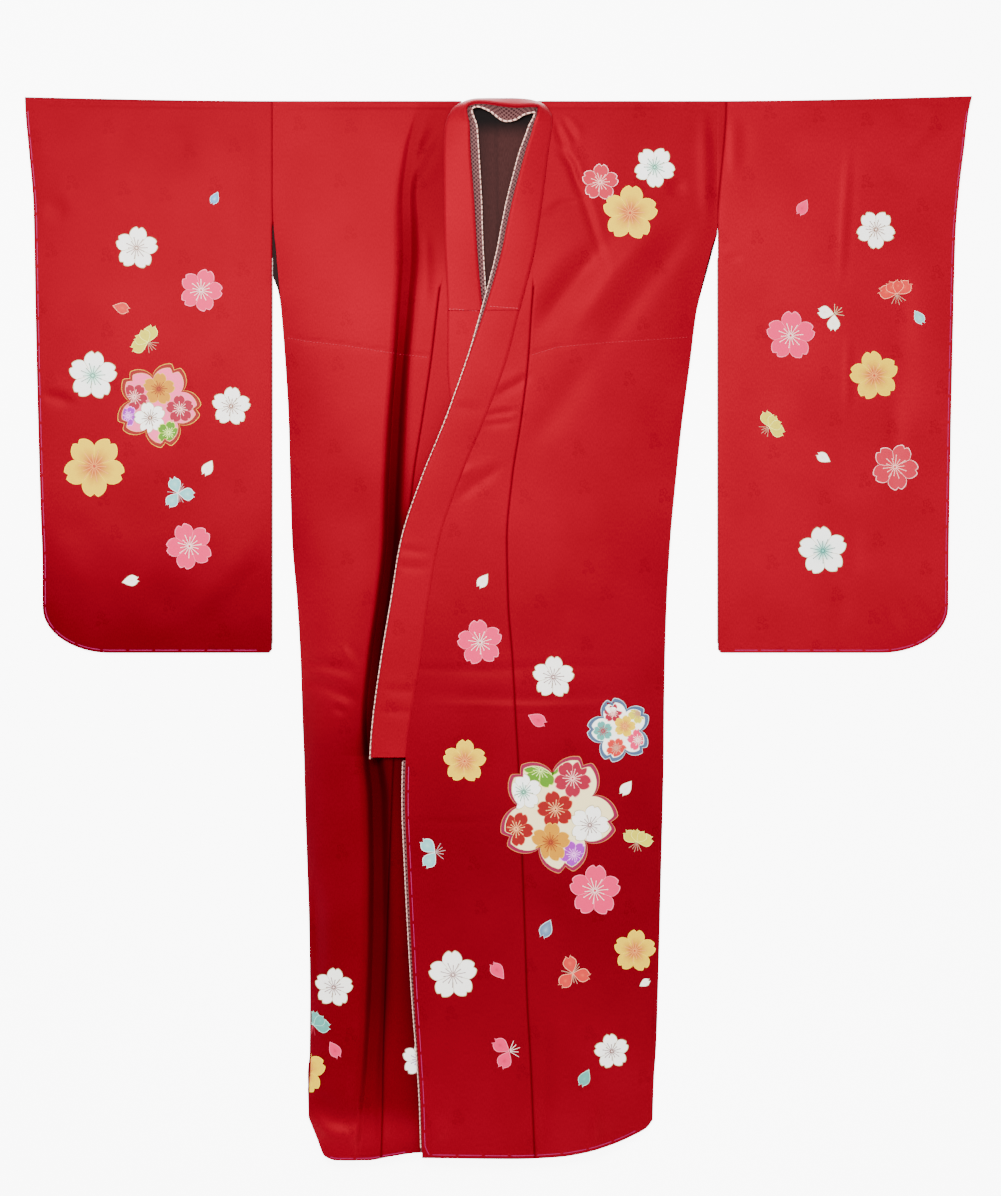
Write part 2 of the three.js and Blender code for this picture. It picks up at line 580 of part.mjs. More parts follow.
// The lining of the collar shows as a strip past its free edge, and sags at the back of the neck.
function collarLining() {
  const below = (COLLAR_CLOTH + LINING_CLOTH) / 2 + SEAM_GAP;
  const surface = (share, along) => {
    const tucked = new THREE.Vector3(...collarSurface(LINING_TUCK, along));
    const across = SEWN_EDGE.getPoint(along).sub(FREE_EDGE.getPoint(along));
    const forward = FREE_EDGE.getTangent(along);
    tucked.addScaledVector(across.cross(forward).normalize(), -below);
    return CORDED_EDGE.getPoint(along).lerp(tucked, share).toArray();
  };
  return wall(surface, COLLAR_SHARES, COLLAR_ROWS, LINING_CLOTH);
}

// The back's lining shows in the neck opening.
function backLining() {
  const level = CLOTH + SEAM_GAP + LINING_CLOTH / 2;
  const surface = (across, down) => [across, SHOULDER_Y - down, level];
  const columns = levels(-BACK_LINING_HALF, BACK_LINING_HALF, 30);
  return wall(surface, columns, levels(NECK_DROP + 3, BACK_LINING_END, 80), LINING_CLOTH);
}

// A strip of lining shows past the left front edge, under the overlap.
function edgeLining() {
  const below = -(CLOTH + LINING_CLOTH) / 2 - SEAM_GAP;
  const surface = (share, down) => {
    const narrow = ease(down, EDGE_LINING.narrowsFrom, HEM_DOWN);
    const edge = front("leftCollar", down) - mix(EDGE_LINING.shows, EDGE_LINING.showsAtHem, narrow);
    const across = edge + EDGE_LINING.width * share;
    const lower = withHem(HEM_LEFT, across, down);
    return [across, SHOULDER_Y - lower, leftLevel(across, lower)];
  };
  const rows = [...levels(COLLAR_END + 4, HEM_CURVE_START, 56), 1280, EDGE_LINING.end];
  return wall(surface, [0, 0.5, 1], rows, LINING_CLOTH, below);
}

const SILK = new THREE.MeshStandardMaterial({ color: 0xc01022, roughness: 0.42 });
const LINING = new THREE.MeshStandardMaterial({ color: 0x57322f, roughness: 0.62 });
const EDGE_CLOTH = new THREE.MeshStandardMaterial({ color: 0xa98a8c, roughness: 0.6 });

const kimono = new THREE.Group();
const PIECES = [
  ["body_right", bodyRight(), SILK],
  ["body_left", bodyLeft(), SILK],
  ["overlap_right", overlapRight(), SILK],
  ["overlap_left", overlapLeft(), SILK],
  ["sleeve_right", sleeve(SLEEVE_RIGHT, SOFT_FOLDS.sleeveRight), SILK],
  ["sleeve_left", sleeve(SLEEVE_LEFT, SOFT_FOLDS.sleeveLeft), SILK],
  ["collar", collar(), SILK],
  ["over_collar", overCollar(), SILK],
  ["collar_lining", collarLining(), EDGE_CLOTH],
  ["back_lining", backLining(), LINING],
  ["edge_lining", edgeLining(), EDGE_CLOTH],
];
for (const [name, geometry, material] of PIECES) {
  const piece = new THREE.Mesh(geometry, material);
  piece.name = name;
  kimono.add(piece);
}

export default kimono;
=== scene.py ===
# A child's lined kimono of red silk, laid flat with its front up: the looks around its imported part.
# Sizes are in millimetres and turned into metres where a mesh is made. "Across" runs to the wearer's
# left and "down" from the shoulder fold towards the hem, as in the part's own source.

import math
from functools import partial

import bpy
import numpy as np
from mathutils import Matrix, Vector
from mathutils.bvhtree import BVHTree


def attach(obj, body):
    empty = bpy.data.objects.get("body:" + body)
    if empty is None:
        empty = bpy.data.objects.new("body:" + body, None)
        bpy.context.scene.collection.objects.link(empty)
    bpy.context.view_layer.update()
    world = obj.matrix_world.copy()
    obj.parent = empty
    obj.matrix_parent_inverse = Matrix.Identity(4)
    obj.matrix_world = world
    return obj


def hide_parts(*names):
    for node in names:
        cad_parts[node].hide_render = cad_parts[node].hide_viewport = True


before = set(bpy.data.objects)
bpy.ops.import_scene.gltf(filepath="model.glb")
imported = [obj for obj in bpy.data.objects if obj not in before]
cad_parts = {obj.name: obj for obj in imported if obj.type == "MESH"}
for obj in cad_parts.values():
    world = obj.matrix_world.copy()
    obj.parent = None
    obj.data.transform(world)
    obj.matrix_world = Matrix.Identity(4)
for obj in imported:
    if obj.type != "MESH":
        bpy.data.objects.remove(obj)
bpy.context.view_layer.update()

MM = 0.001

# The wearer's sides, and which way each lies across
SIDES = ("right", "left")
SIGN = {"right": -1, "left": 1}

# Driving sizes, the same as the part's
SHOULDER_Y = 685.75
CLOTH = 2.0
COLLAR_CLOTH = 2.4
OVER_COLLAR_CLOTH = 1.2
LINING_CLOTH = 1.0
SEAM_GAP = 0.3
BACK_LEVEL = CLOTH / 2
FRONT_LEVEL = CLOTH * 1.5 + SEAM_GAP
FOLD_RADIUS = (FRONT_LEVEL - BACK_LEVEL) / 2
HALF_TURN = FOLD_RADIUS * math.pi / 2
HEM_DOWN = 1373.0
HEM_CURVE_START = 1190.0
NECK_DROP = 16.0
COLLAR_END = 854.0
COLLAR_RISE = 0.5
COLLAR_STAND = {"height": 6.0, "end": 230.0}
LINING_DROP = 2.2
OVER_COLLAR_END = 274.0
LAYER_STEP = {"height": 5.6, "start": 5.0, "end": 215.0}
RIGHT_SHELF = 0.85
SWELL_POWER = 2.2
CROSSING_EDGE = 60.0
BACK_LINING_END = 330.0
BACK_LINING_HALF = 60.0
EDGE_LINING = {"shows": 4.0, "shows_at_hem": 1.6, "narrows_from": 1000.0, "width": 16.0, "end": 1366.0}
ARMHOLE = {"shows": 2.4, "opens": (140.0, 200.0), "closes": (215.0, 290.0)}
SLEEVE_PUFF = 2.2
SLEEVE_CORNER = {"across": 88.0, "up": 60.0}
SLEEVE_BOTTOM = 719.0
SLEEVE_INNER_RISE = 4.0
SLEEVE_TOP_CURVE = 1.6

# What the looks add
SILK_THICK = 1.4
FOLD_LINE = {"down": 8.0, "depth": 0.5, "half": 2.2}
TUCK_GROOVE = {"depth": 0.7, "half": 1.8}
SEAM_GROOVE = {"depth": 0.55, "half": 1.3}
SEAM_SHADOW = 0.6
UNDER_COLLAR = {"reach": 3.0, "ends": (222, 250)}
ROW_STEP = {"front": 3.7, "sleeve": 4, "back": 14}
RIGHT_ARMHOLE_ENDS = (222.0, 256.0)
SEWN_TO_BODY = (152.0, 166.0)
ARMHOLE_SHADOW = 0.65


def table(names, *rows):
    """A table with named columns."""
    return dict(zip(names.split(), np.array(rows, float).T))


# The two fronts: edges of the panels, and free is the inner edge of the collar.
FRONTS = table(
    "down right_side right_seam right_collar right_free left_free left_collar left_seam left_side",
    (0, -294.1, -51, -46, -40, 50, 56, 53, 284.9),
    (27, -294.1, -71, -68.7, -38, 47, 69.3, 72.2, 284.9),
    (65, -294.1, -71.8, -71, -36.8, 36, 64.5, 65.4, 284.9),
    (130, -294.1, -70.8, -70.5, -32, 18.5, 56.7, 57, 284.9),
    (165, -292.5, -70.5, -70.2, -30, 10.9, 51.8, 52.4, 284.9),
    (195, -289.5, -71.5, -69.5, -28, 4.8, 47, 49.5, 276.5),
    (273, -282.8, -80, -66, -21, -17.7, 27.5, 43.2, 258),
    (338, -277.6, -87.5, -66.5, -14, -40, 10.8, 38.8, 249.6),
    (416, -273, -99, -59, -3, -68, -18, 29.6, 239.2),
    (494, -271, -111, -42, 9, -99.6, -50.5, 17.6, 230.8),
    (572, -268.5, -118, -28, 22, -125, -76.5, 11, 223.6),
    (650, -262, -124, -20, 31, -138, -90.6, 12.6, 219),
    (728, -257.4, -129, -9, 41, -151, -101, 18.4, 216.5),
    (806, -254.8, -133, 4, 51, -161.5, -114.6, 22.6, 215.3),
    (854, -252.9, -136, 12, 58, -165, -120.6, 25.4, 215),
    (910, -251.6, -138.5, 9.5, 58, -165, -121.6, 27.8, 213.9),
    (988, -249, -141, 7, 58, -165, -118.7, 31, 211.9),
    (1066, -246.4, -143.5, 4.5, 58, -165, -115, 33.8, 210),
    (1170, -245, -147, 1, 58, -165, -109.7, 37.3, 207.2),
    (1248, -245.7, -149.5, -1.5, 58, -165, -104.4, 41.7, 204.8),
    (1300, -248.3, -150.5, -2.5, 58, -165, -101.5, 44, 202.5),
    (1373, -247, -152.7, -4.7, 58, -165, -99.5, 47, 200.6),
)

# The deep fold down the right front.
DEEP_FOLD = table(
    "down middle half puff cut",
    (0, -96, 10, 0, 0),
    (27, -104, 10, 2, 0.6),
    (65, -113, 11, 4, 2),
    (130, -119.5, 13, 6, 4.5),
    (165, -118.5, 14, 7, 5.2),
    (195, -118, 14, 8, 6),
    (273, -122.5, 13, 11, 8.5),
    (338, -127.5, 12, 14, 12),
    (416, -133, 13, 16, 15),
    (494, -136.8, 13.5, 16.5, 16),
    (572, -140, 12.5, 16.5, 16),
    (650, -149, 12, 16.5, 16),
    (728, -160, 12, 16.5, 16),
    (806, -166, 13, 16.5, 16),
    (854, -163, 14, 16.5, 16),
    (910, -157, 15, 16.5, 15.5),
    (988, -155.5, 15, 16, 15),
    (1066, -155, 16, 16, 14),
    (1170, -158, 16, 14, 11),
    (1248, -163, 15, 13, 8.5),
    (1300, -166, 17, 12, 5),
    (1373, -170, 19, 11.5, 1.5),
)

# The collar round the back of the neck, from the wearer's left to their right.
NECK = table(
    "sewn_x sewn_down sewn_z free_x free_down free_z edge_x edge_down edge_z",
    (69, 20, 6, 50, 20, 13, 45.5, 22, 10),
    (60, 8, 6, 51, 10, 17, 47, 16.5, 12),
    (44, 1, 6, 42, 9, 19, 35, 18.5, 13),
    (24, -1.5, 6, 23, 10, 18.5, 20, 26, 10),
    (4, -1.6, 6, 4, 8, 18, 6, 26.5, 9.5),
    (-16, -1.2, 6, -14, 5, 18, -12, 14, 12),
    (-34, 0, 6, -30, 4.5, 18, -28, 9, 14),
    (-46, 3.5, 6, -39, 8, 17, -34.5, 12, 13),
    (-59, 11, 6, -41, 14, 14.5, -33, 20, 11),
)

COLLAR_LINING = table(
    "down right left",
    (27, 9, 6),
    (65, 11, 8.5),
    (195, 8, 7),
    (273, 6, 5),
    (338, 3, 1.8),
    (854, 3, 1.8),
)

HEM_RIGHT = table(
    "across down",
    (-248, 1321),
    (-237, 1347),
    (-225.6, 1373),
    (-210, 1378),
    (-171, 1378),
    (-140, 1373),
    (-104, 1368),
    (0, 1366),
)
HEM_LEFT = table(
    "across down",
    (-100, 1374),
    (20, 1375.4),
    (78.7, 1372.8),
    (112.5, 1367.6),
    (149, 1357),
    (173.6, 1346.8),
    (193, 1336.4),
    (201, 1326),
)

SLEEVE_RIGHT = {
    "inner": -294.8,
    "top_rise": 5.2,
    "outer": table(
        "down across",
        (0, -616.8),
        (23, -615.6),
        (65, -611.7),
        (143, -605.2),
        (273, -602.6),
        (390, -600),
        (533, -596),
        (611, -593.5),
        (719, -593.5),
    ),
    # Painted shade down the right sleeve, darkest at its bottom.
    "painted_shading": ((0, 80, 260, 420, 560, 640, 700), (0.74, 0.8, 0.92, 0.92, 0.84, 0.62, 0.5)),
    "seam_slant": 0,
}
SLEEVE_LEFT = {
    "inner": 285.6,
    "top_rise": 6.5,
    "outer": table(
        "down across",
        (0, 616.8),
        (23, 611.7),
        (65, 606.5),
        (117, 600),
        (182, 594.8),
        (325, 591),
        (455, 588.3),
        (650, 585.7),
        (719, 585.7),
    ),
    # Painted light down the left sleeve, brightest in its middle.
    "painted_shading": ((0, 80, 300, 600, 719), (1.05, 1.12, 1.2, 1.15, 1.0)),
    "seam_slant": 11,
}

# Painted shade down the fronts: the painted shade of each front, the floor of the deep fold, the cloth to
# its right, how far the painted dark spreads to its left in half widths, and the painted shadow beside the
# front that crosses over.
SHADE = table(
    "down right_tone left_tone floor right spread cover",
    (0, 0.8, 0.86, 0.9, 0.85, 0.9, 0),
    (65, 0.84, 0.88, 0.75, 0.7, 0.9, 0),
    (130, 0.88, 0.9, 0.65, 0.66, 0.9, 0),
    (195, 0.92, 0.92, 0.52, 0.8, 0.9, 0),
    (260, 0.94, 0.94, 0.48, 1, 0.9, 0),
    (325, 0.92, 0.96, 0.36, 1, 0.9, 0.1),
    (390, 0.9, 0.97, 0.28, 1, 0.9, 0.15),
    (455, 0.9, 0.98, 0.24, 1, 0.9, 0.2),
    (520, 0.85, 1, 0.2, 0.95, 0.9, 0.3),
    (565, 0.87, 0.95, 0.18, 0.45, 0.9, 0.5),
    (650, 0.9, 0.88, 0.2, 0.28, 0.9, 0.5),
    (700, 0.9, 0.85, 0.22, 0.26, 0.9, 0.5),
    (780, 0.78, 0.8, 0.34, 0.4, 0.8, 0.5),
    (858, 0.62, 0.72, 0.3, 0.52, 1.8, 0.6),
    (975, 0.6, 0.64, 0.42, 0.8, 1.6, 0.55),
    (1105, 0.6, 0.68, 0.48, 0.8, 1.6, 0.6),
    (1235, 0.64, 0.78, 0.65, 0.85, 1.6, 0.55),
    (1300, 0.7, 0.82, 0.78, 0.85, 1.6, 0.45),
    (1345, 1, 0.85, 0.95, 0.95, 1.6, 0.4),
    (1373, 0.9, 0.85, 0.9, 0.9, 1.6, 0.4),
)
# How far the painted shadow beside the front that crosses over reaches, in millimetres.
COVER_REACH = 16.0

# Creases: the points that each follows, its half width and its height, which is negative in a trough.
LEFT_CREASES = [
    ([(50, 300), (92, 240), (136, 186)], 13, -3.2),
    ([(132, 322), (190, 240), (250, 163)], 15, -3.4),
    ([(98, 302), (150, 225), (212, 160)], 14, 2.2),
    ([(222, 122), (240, 104)], 9, -1.6),
    ([(73, 34), (108, 120), (142, 227)], 4, -1.4),
    ([(74, 28), (88, 64)], 3.5, -1.7),
    ([(82, 24), (102, 54)], 4, -1.6),
    ([(74, 60), (96, 84), (104, 118)], 4, -1.3),
    ([(60, 150), (84, 136), (112, 132)], 5, -1.0),
    ([(268, 20), (272, 160)], 8, 1.8),
    ([(120, 336), (84, 388), (44, 446)], 16, -1.3),
    ([(230, 356), (194, 446)], 17, -1.2),
    ([(-20, 412), (24, 404)], 3.5, -1.2),
    ([(-22, 424), (22, 419)], 3.5, -1.0),
    ([(-6, 386), (22, 372), (42, 358)], 5, -1.5),
    ([(-54, 520), (-34, 503), (4, 477)], 7, -1.3),
    ([(-60, 492), (-30, 478)], 5, 0.9),
    ([(-150, 738), (-20, 741), (100, 735), (212, 739)], 5, -0.8),
    ([(-98, 771), (40, 776), (212, 768)], 7, -1.0),
    ([(-98, 785), (60, 788), (212, 783)], 3, 0.8),
    ([(-112, 936), (-60, 938), (-4, 935)], 3.5, -0.7),
    ([(127, 1300), (125, 1364)], 5, 1.0),
    ([(62, 1180), (58, 1362)], 7, -0.7),
    ([(-92, 1326), (-68, 1348)], 12, 1.3),
    ([(120, 1290), (150, 1342)], 22, 1.3),
    ([(120, 560), (160, 640)], 26, -0.8),
    ([(150, 900), (175, 1060)], 24, -0.8),
    ([(-60, 1010), (-40, 1160)], 24, -0.6),
]
RIGHT_CREASES = [
    ([(-128, 118), (-127, 240)], 4, -1.2),
    ([(-80, 32), (-98, 66), (-118, 110)], 9, -1.8),
    ([(-95, 170), (-93, 268)], 6, 1.1),
    ([(-256, 733), (-228, 735), (-194, 743)], 6, -1.6),
    ([(-254, 757), (-222, 763), (-182, 781)], 8, -2.0),
    ([(-216, 788), (-197, 797)], 4, -1.2),
    ([(-203, 709), (-186, 738)], 4, 1.1),
    ([(-244, 500), (-205, 530), (-168, 560)], 34, -1.6),
    ([(-240, 1322), (-222, 1340), (-194, 1347), (-172, 1338), (-158, 1320)], 8, 2.2),
    ([(-244, 1296), (-205, 1322), (-176, 1318)], 14, -3.0),
    ([(-166, 1312), (-146, 1350)], 10, 1.6),
    ([(-130, 960), (-126, 1180)], 9, -1.0),
    ([(-240, 1010), (-236, 1160)], 12, -0.9),
    ([(-60, 330), (-40, 372)], 4, -0.9),
    ([(-56, 298), (-24, 303)], 4, -0.9),
    ([(-56, 318), (-28, 314)], 4, -0.7),
]
SLEEVE_RIGHT_CREASES = [
    ([(-597, 385), (-575, 389), (-552, 396)], 6, -1.5),
    ([(-312, 566), (-360, 628), (-424, 684)], 16, 1.6),
    ([(-305, 610), (-346, 668)], 14, -1.2),
    ([(-510, 40), (-450, 66), (-390, 50)], 30, -1.4),
    ([(-580, 560), (-540, 640)], 18, 1.0),
    ([(-470, 640), (-400, 660)], 20, -0.8),
    ([(-330, 20), (-326, 200)], 10, -0.7),
    ([(-590, 140), (-560, 150)], 10, -0.9),
]
SLEEVE_LEFT_CREASES = [
    ([(456, 64), (450, 150), (445, 240)], 4, 1.3),
    ([(455, 306), (454, 408)], 4, 1.0),
    ([(526, 214), (525, 330), (524, 446)], 16, -1.7),
    ([(540, 79), (572, 60), (604, 34)], 9, -2.0),
    ([(518, 6), (560, 38)], 13, -1.6),
    ([(514, 364), (514, 524)], 9, -1.0),
    ([(463, 556), (463, 624)], 9, -0.9),
    ([(446, 640), (444, 690)], 9, -0.9),
    ([(522, 648), (560, 690)], 5, -1.2),
    ([(544, 640), (576, 672)], 5, -1.1),
    ([(504, 655), (528, 704)], 6, -1.1),
    ([(290, 205), (318, 206)], 4, -0.9),
    ([(306, 16), (306, 98)], 7, 1.2),
    ([(330, 330), (345, 520)], 22, -0.8),
]
BACK_CREASES = [
    ([(-230, 738), (0, 742), (205, 736)], 6, 0.8),
    ([(-235, 772), (-20, 768), (205, 775)], 8, 1.0),
    ([(-200, 180), (-120, 320)], 12, 0.9),
    ([(205, 190), (130, 330)], 12, 0.9),
    ([(-160, 480), (-150, 690)], 10, 0.7),
    ([(150, 500), (165, 670)], 10, 0.7),
    ([(-90, 1000), (-70, 1230)], 12, 0.8),
    ([(95, 980), (110, 1200)], 12, 0.8),
]
COLLAR_CREASES = [
    ([(-130, 583), (-90, 590)], 4, -0.7),
    ([(-135, 606), (-88, 609)], 5, -0.8),
    ([(-150, 765), (-100, 770)], 5, -0.8),
    ([(-154, 793), (-104, 796)], 5, -0.9),
    ([(-60, 400), (-20, 404)], 6, -0.5),
]


def cubic(first, rise, start, end, t):
    """A smooth curve at t from 0 to 1, by its first value, its rise and its slopes at both ends."""
    return first + t * (start + t * (3 * rise - 2 * start - end + t * (start + end - 2 * rise)))


def between(rows, key, name, at):
    """A value between the rows of a table, on a smooth curve that goes past no row."""
    x, y = rows[key], rows[name]
    secant = np.diff(y) / np.diff(x)
    before, after = secant[:-1], secant[1:]
    agree = before * after > 0
    bend = np.where(agree, 2 * before * after / np.where(agree, before + after, 1), 0)
    slope = np.concatenate([secant[:1], bend, secant[-1:]])
    at = np.asarray(at, float)
    i = np.clip(np.searchsorted(x, at, side="right") - 1, 0, len(x) - 2)
    step = x[i + 1] - x[i]
    t = np.clip((at - x[i]) / step, 0, 1)
    return cubic(y[i], y[i + 1] - y[i], slope[i] * step, slope[i + 1] * step, t)


def front(name, down):
    """A column of the fronts' table at a level."""
    return between(FRONTS, "down", name, down)


def deep_fold(name, down):
    """A column of the deep fold's table at a level."""
    return between(DEEP_FOLD, "down", name, down)


def ease(x, low, high):
    """From 0 at low to 1 at high, smoothly."""
    t = np.clip((x - low) / (high - low), 0, 1)
    return t * t * (3 - 2 * t)


def mix(a, b, t):
    """From a at 0 to b at 1."""
    return a + (b - a) * t


def near(off, half):
    """1 on a line and falling to 0 beside it, by the distance off it and a half width."""
    return np.exp(-((off / half) ** 2))


def unit(vectors):
    """Vectors brought to a length of 1."""
    return vectors / np.maximum(np.linalg.norm(vectors, axis=-1, keepdims=True), 1e-9)


def laid(across, down, level):
    """Points by their places across and down, and their levels."""
    return np.stack([across, SHOULDER_Y - down, level], axis=-1)


def creased(creases, across, down):
    """Height that a list of creases adds. Each fades to its ends and has a low swell on one side."""
    height = np.zeros(np.broadcast(across, down).shape)
    for points, half, rise in creases:
        corners = np.array(points, float)
        steps = np.diff(corners, axis=0)
        lengths = np.hypot(*steps.T)
        starts = np.concatenate([[0], np.cumsum(lengths)])
        nearest = np.full(height.shape, 1e9)
        aside = np.zeros(height.shape)
        along = np.zeros(height.shape)
        for (x0, d0), (dx, dd), length, start in zip(corners, steps, lengths, starts):
            t = np.clip(((across - x0) * dx + (down - d0) * dd) / length**2, 0, 1)
            gap = np.hypot(across - x0 - t * dx, down - d0 - t * dd)
            side = np.sign((across - x0) * dd - (down - d0) * dx)
            closer = gap < nearest
            nearest = np.where(closer, gap, nearest)
            aside = np.where(closer, gap * side, aside)
            along = np.where(closer, (start + t * length) / starts[-1], along)
        wide = half * (0.8 + 0.4 * np.sin(math.pi * along))
        taper = ease(along, -0.1, 0.35) * (1 - ease(along, 0.65, 1.1))
        swell = 0.35 * near(aside - 1.9 * wide, 1.2 * wide)
        height += rise * taper * (near(aside, wide) - swell)
    return height


# Wide waves of the cloth: turns in radians a millimetre across and down, and the phase.
RIPPLES = [
    (0.031, 0.011, 0.4),
    (-0.017, 0.034, 1.9),
    (0.052, -0.021, 3.1),
    (0.012, 0.058, 5.2),
    (0.071, 0.043, 0.9),
]


def rippled(across, down, height):
    """Low, wide unevenness of cloth that lies flat."""
    total = 0
    for wave_across, wave_down, phase in RIPPLES:
        total = total + np.sin(across * wave_across + down * wave_down + phase)
    return height * total / len(RIPPLES)


def top_fold(down):
    """The pressed line a little below the shoulder fold."""
    return -FOLD_LINE["depth"] * near(down - FOLD_LINE["down"], FOLD_LINE["half"])


def right_shape(across, down):
    """0 on the floor of the deep fold and 1 beside it. The left wall is the steeper one."""
    aside = (across - deep_fold("middle", down)) / deep_fold("half", down)
    return np.where(aside < 0, ease(-aside, 0.45, 1.0), ease(aside, 0.25, 1.1))


# The tuck seam at the waist, on each front: across and down.
TUCK = {
    "right": ((-280, -247, -198, -148, -93), (307, 313, 319, 327, 334)),
    "left": ((41, 77, 140, 249), (332, 321, 315, 307)),
}


def tuck_line(across):
    """How far down the tuck seam at the waist lies."""
    right, left = (np.interp(across, *TUCK[side]) for side in SIDES)
    return np.where(across < 0, right, left)


def tuck(across, down):
    """The groove of the tuck seam."""
    return -TUCK_GROOVE["depth"] * near(down - tuck_line(across), TUCK_GROOVE["half"])


def right_level(across, down):
    """Height of the right front: its swell, the deep fold, creases and the tuck."""
    puff = deep_fold("puff", down)
    middle = deep_fold("middle", down)
    side = front("right_side", down)
    to_rim = np.clip((across - side) / (middle - deep_fold("half", down) - side), 0, 1)
    swell = np.where(across < middle, 1 - (1 - to_rim) ** SWELL_POWER, RIGHT_SHELF)
    floor = puff - deep_fold("cut", down)
    height = floor + (puff * swell - floor) * right_shape(across, down)
    beside = right_shape(across, down) * ease(swell, 0, 0.3)
    added = (creased(RIGHT_CREASES, across, down) + rippled(across, down, 0.5)) * ease(puff, 0, 4) * beside
    on_body = (across < front("right_seam", down)) * 1.0
    added = added + tuck(across, down) * on_body * beside + top_fold(down)
    return FRONT_LEVEL + np.maximum(height + added, 0)


def left_level(across, down):
    """Height of the left front, which lies over the right one."""
    step = LAYER_STEP["height"] * ease(down, LAYER_STEP["start"], LAYER_STEP["end"])
    top = deep_fold("puff", down) * RIGHT_SHELF + step
    to_side = (across - CROSSING_EDGE) / (front("left_side", down) - CROSSING_EDGE)
    swell = 1 - np.clip(to_side, 0, 1) ** 2
    added = (creased(LEFT_CREASES, across, down) + rippled(across, down, 0.5)) * ease(swell, 0, 0.12)
    on_body = (across > front("left_seam", down)) * 1.0
    added = added * ease(down, 0, 20) + tuck(across, down) * on_body + top_fold(down)
    return FRONT_LEVEL + np.maximum(top * swell + added, 0)


def hem_down(side, across):
    """How far down the hem lies."""
    return between(HEM[side], "across", "down", across)


def with_hem(side, across, down):
    """How far down a point lies once the hem's curve has drawn it up."""
    return down - (HEM_DOWN - hem_down(side, across)) * ease(down, HEM_CURVE_START, HEM_DOWN)


def over_shoulder(signed):
    """Where a length from the top of the fold lies: how far down, and at what level."""
    angle = np.clip(signed / HALF_TURN, -1, 1) * math.pi / 2
    past = np.maximum(np.abs(signed) - HALF_TURN, 0)
    down = CLOTH / 2 + FOLD_RADIUS * (1 - np.cos(angle)) + past
    return down, (BACK_LEVEL + FRONT_LEVEL) / 2 + FOLD_RADIUS * np.sin(angle)


def at_edges(count, width):
    """Shares of a width, with close ones at both edges for the turn of the cloth into a seam."""
    edge = np.array([0, 0.5, 1.2, 2.2, 3.6]) / width
    middle = np.linspace(5.5 / width, 1 - 5.5 / width, count)
    return np.concatenate([edge, middle, 1 - edge[::-1]])


def seam_groove(from_edge):
    """How far cloth falls towards a seam at its edge."""
    return -SEAM_GROOVE["depth"] * near(from_edge, SEAM_GROOVE["half"])


def rows_over_shoulder(bottom, step):
    """Signed lengths for the rows of a folded length: up the back, over the fold and down the front."""
    past = HALF_TURN - CLOTH / 2 - FOLD_RADIUS
    first = np.array([3.0, 4.5, 6, 8, 10, 12, 14, 15.9])
    back = np.concatenate([first, np.arange(20, bottom - ROW_STEP["back"] / 2, ROW_STEP["back"]), [bottom]])
    to_front = np.concatenate([first, np.arange(18, bottom - step / 2, step), [bottom]])
    turn = np.linspace(-1, 1, 9) * HALF_TURN
    return np.concatenate([-(back + past)[::-1], turn, to_front + past])


def normals_of(points):
    """Normals of a grid of points."""
    return unit(np.cross(np.gradient(points, axis=1), np.gradient(points, axis=0)))


SHARP_ANGLE = 50


def placed(name, data, place=(0, 0, 0)):
    """An object in the scene."""
    made = bpy.data.objects.new(name, data)
    made.location = place
    bpy.context.scene.collection.objects.link(made)
    return made


def mesh_object(name, points, faces, material_of_face, materials):
    """A smooth mesh from points in millimetres."""
    mesh = bpy.data.meshes.new(name)
    mesh.from_pydata((np.asarray(points) * MM).tolist(), [], faces)
    for material in materials:
        mesh.materials.append(material)
    mesh.polygons.foreach_set("material_index", material_of_face)
    mesh.polygons.foreach_set("use_smooth", [True] * len(faces))
    mesh.update()
    mesh.set_sharp_from_angle(angle=math.radians(SHARP_ANGLE))
    return placed(name, mesh)


def paint(made, name, colours):
    """Gives a mesh one colour at each point."""
    colours = np.asarray(colours, float)
    layer = made.data.color_attributes.new(name, "FLOAT_COLOR", "POINT")
    layer.data.foreach_set("color", np.column_stack([colours, np.ones(len(colours))]).ravel())


def lay_strip(made, along, points, count):
    """A UV layer in metres for a strip: U across it and V along it."""
    across = np.cumsum(np.linalg.norm(np.diff(points, axis=1, prepend=points[:, :1]), axis=2), axis=1)
    places = np.stack([across, np.broadcast_to(along[:, None], across.shape)], axis=-1).reshape(-1, 2) * MM
    layer = made.data.uv_layers.new(name="strip")
    corners = np.zeros(len(made.data.loops), int)
    made.data.loops.foreach_get("vertex_index", corners)
    layer.data.foreach_set("uv", places[corners % count].ravel())


def cloth(node, points, shade=None, along=None):
    """A cloth piece: a closed thin shell on a grid of points, for its node, whose imported part it hides."""
    (ending, slot, thick, out, materials), flat = CLOTHS[node]
    normal = normals_of(points)
    rows, columns = points.shape[:2]
    count = rows * columns
    walls = np.concatenate([points + normal * out, points + normal * (out - thick)]).reshape(-1, 3)
    index = np.arange(count).reshape(rows, columns)
    a, b, c, d = index[:-1, :-1], index[:-1, 1:], index[1:, 1:], index[1:, :-1]
    over = np.stack([a, b, c, d], axis=-1).reshape(-1, 4)
    under = np.stack([a, d, c, b], axis=-1).reshape(-1, 4) + count
    loop = np.concatenate([index[0, :-1], index[:-1, -1], index[-1, :0:-1], index[:0:-1, 0]])
    after = np.roll(loop, -1)
    rim = np.stack([after, loop, loop + count, after + count], axis=-1)
    which = [0] * len(over) + [1] * len(under) + [0] * len(rim)
    faces = np.concatenate([over, under, rim]).tolist()
    made = mesh_object(f"{node}_{ending}", walls, faces, which, materials)
    # The painted shade of each point, the same on both faces.
    painted_shading = np.ones(count) if shade is None else shade.ravel()
    paint(made, "shade", np.column_stack([np.tile(painted_shading, 2)] * 3))
    if along is not None:
        lay_strip(made, along, points, count)
    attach(made, "root")
    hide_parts(node)
    return made


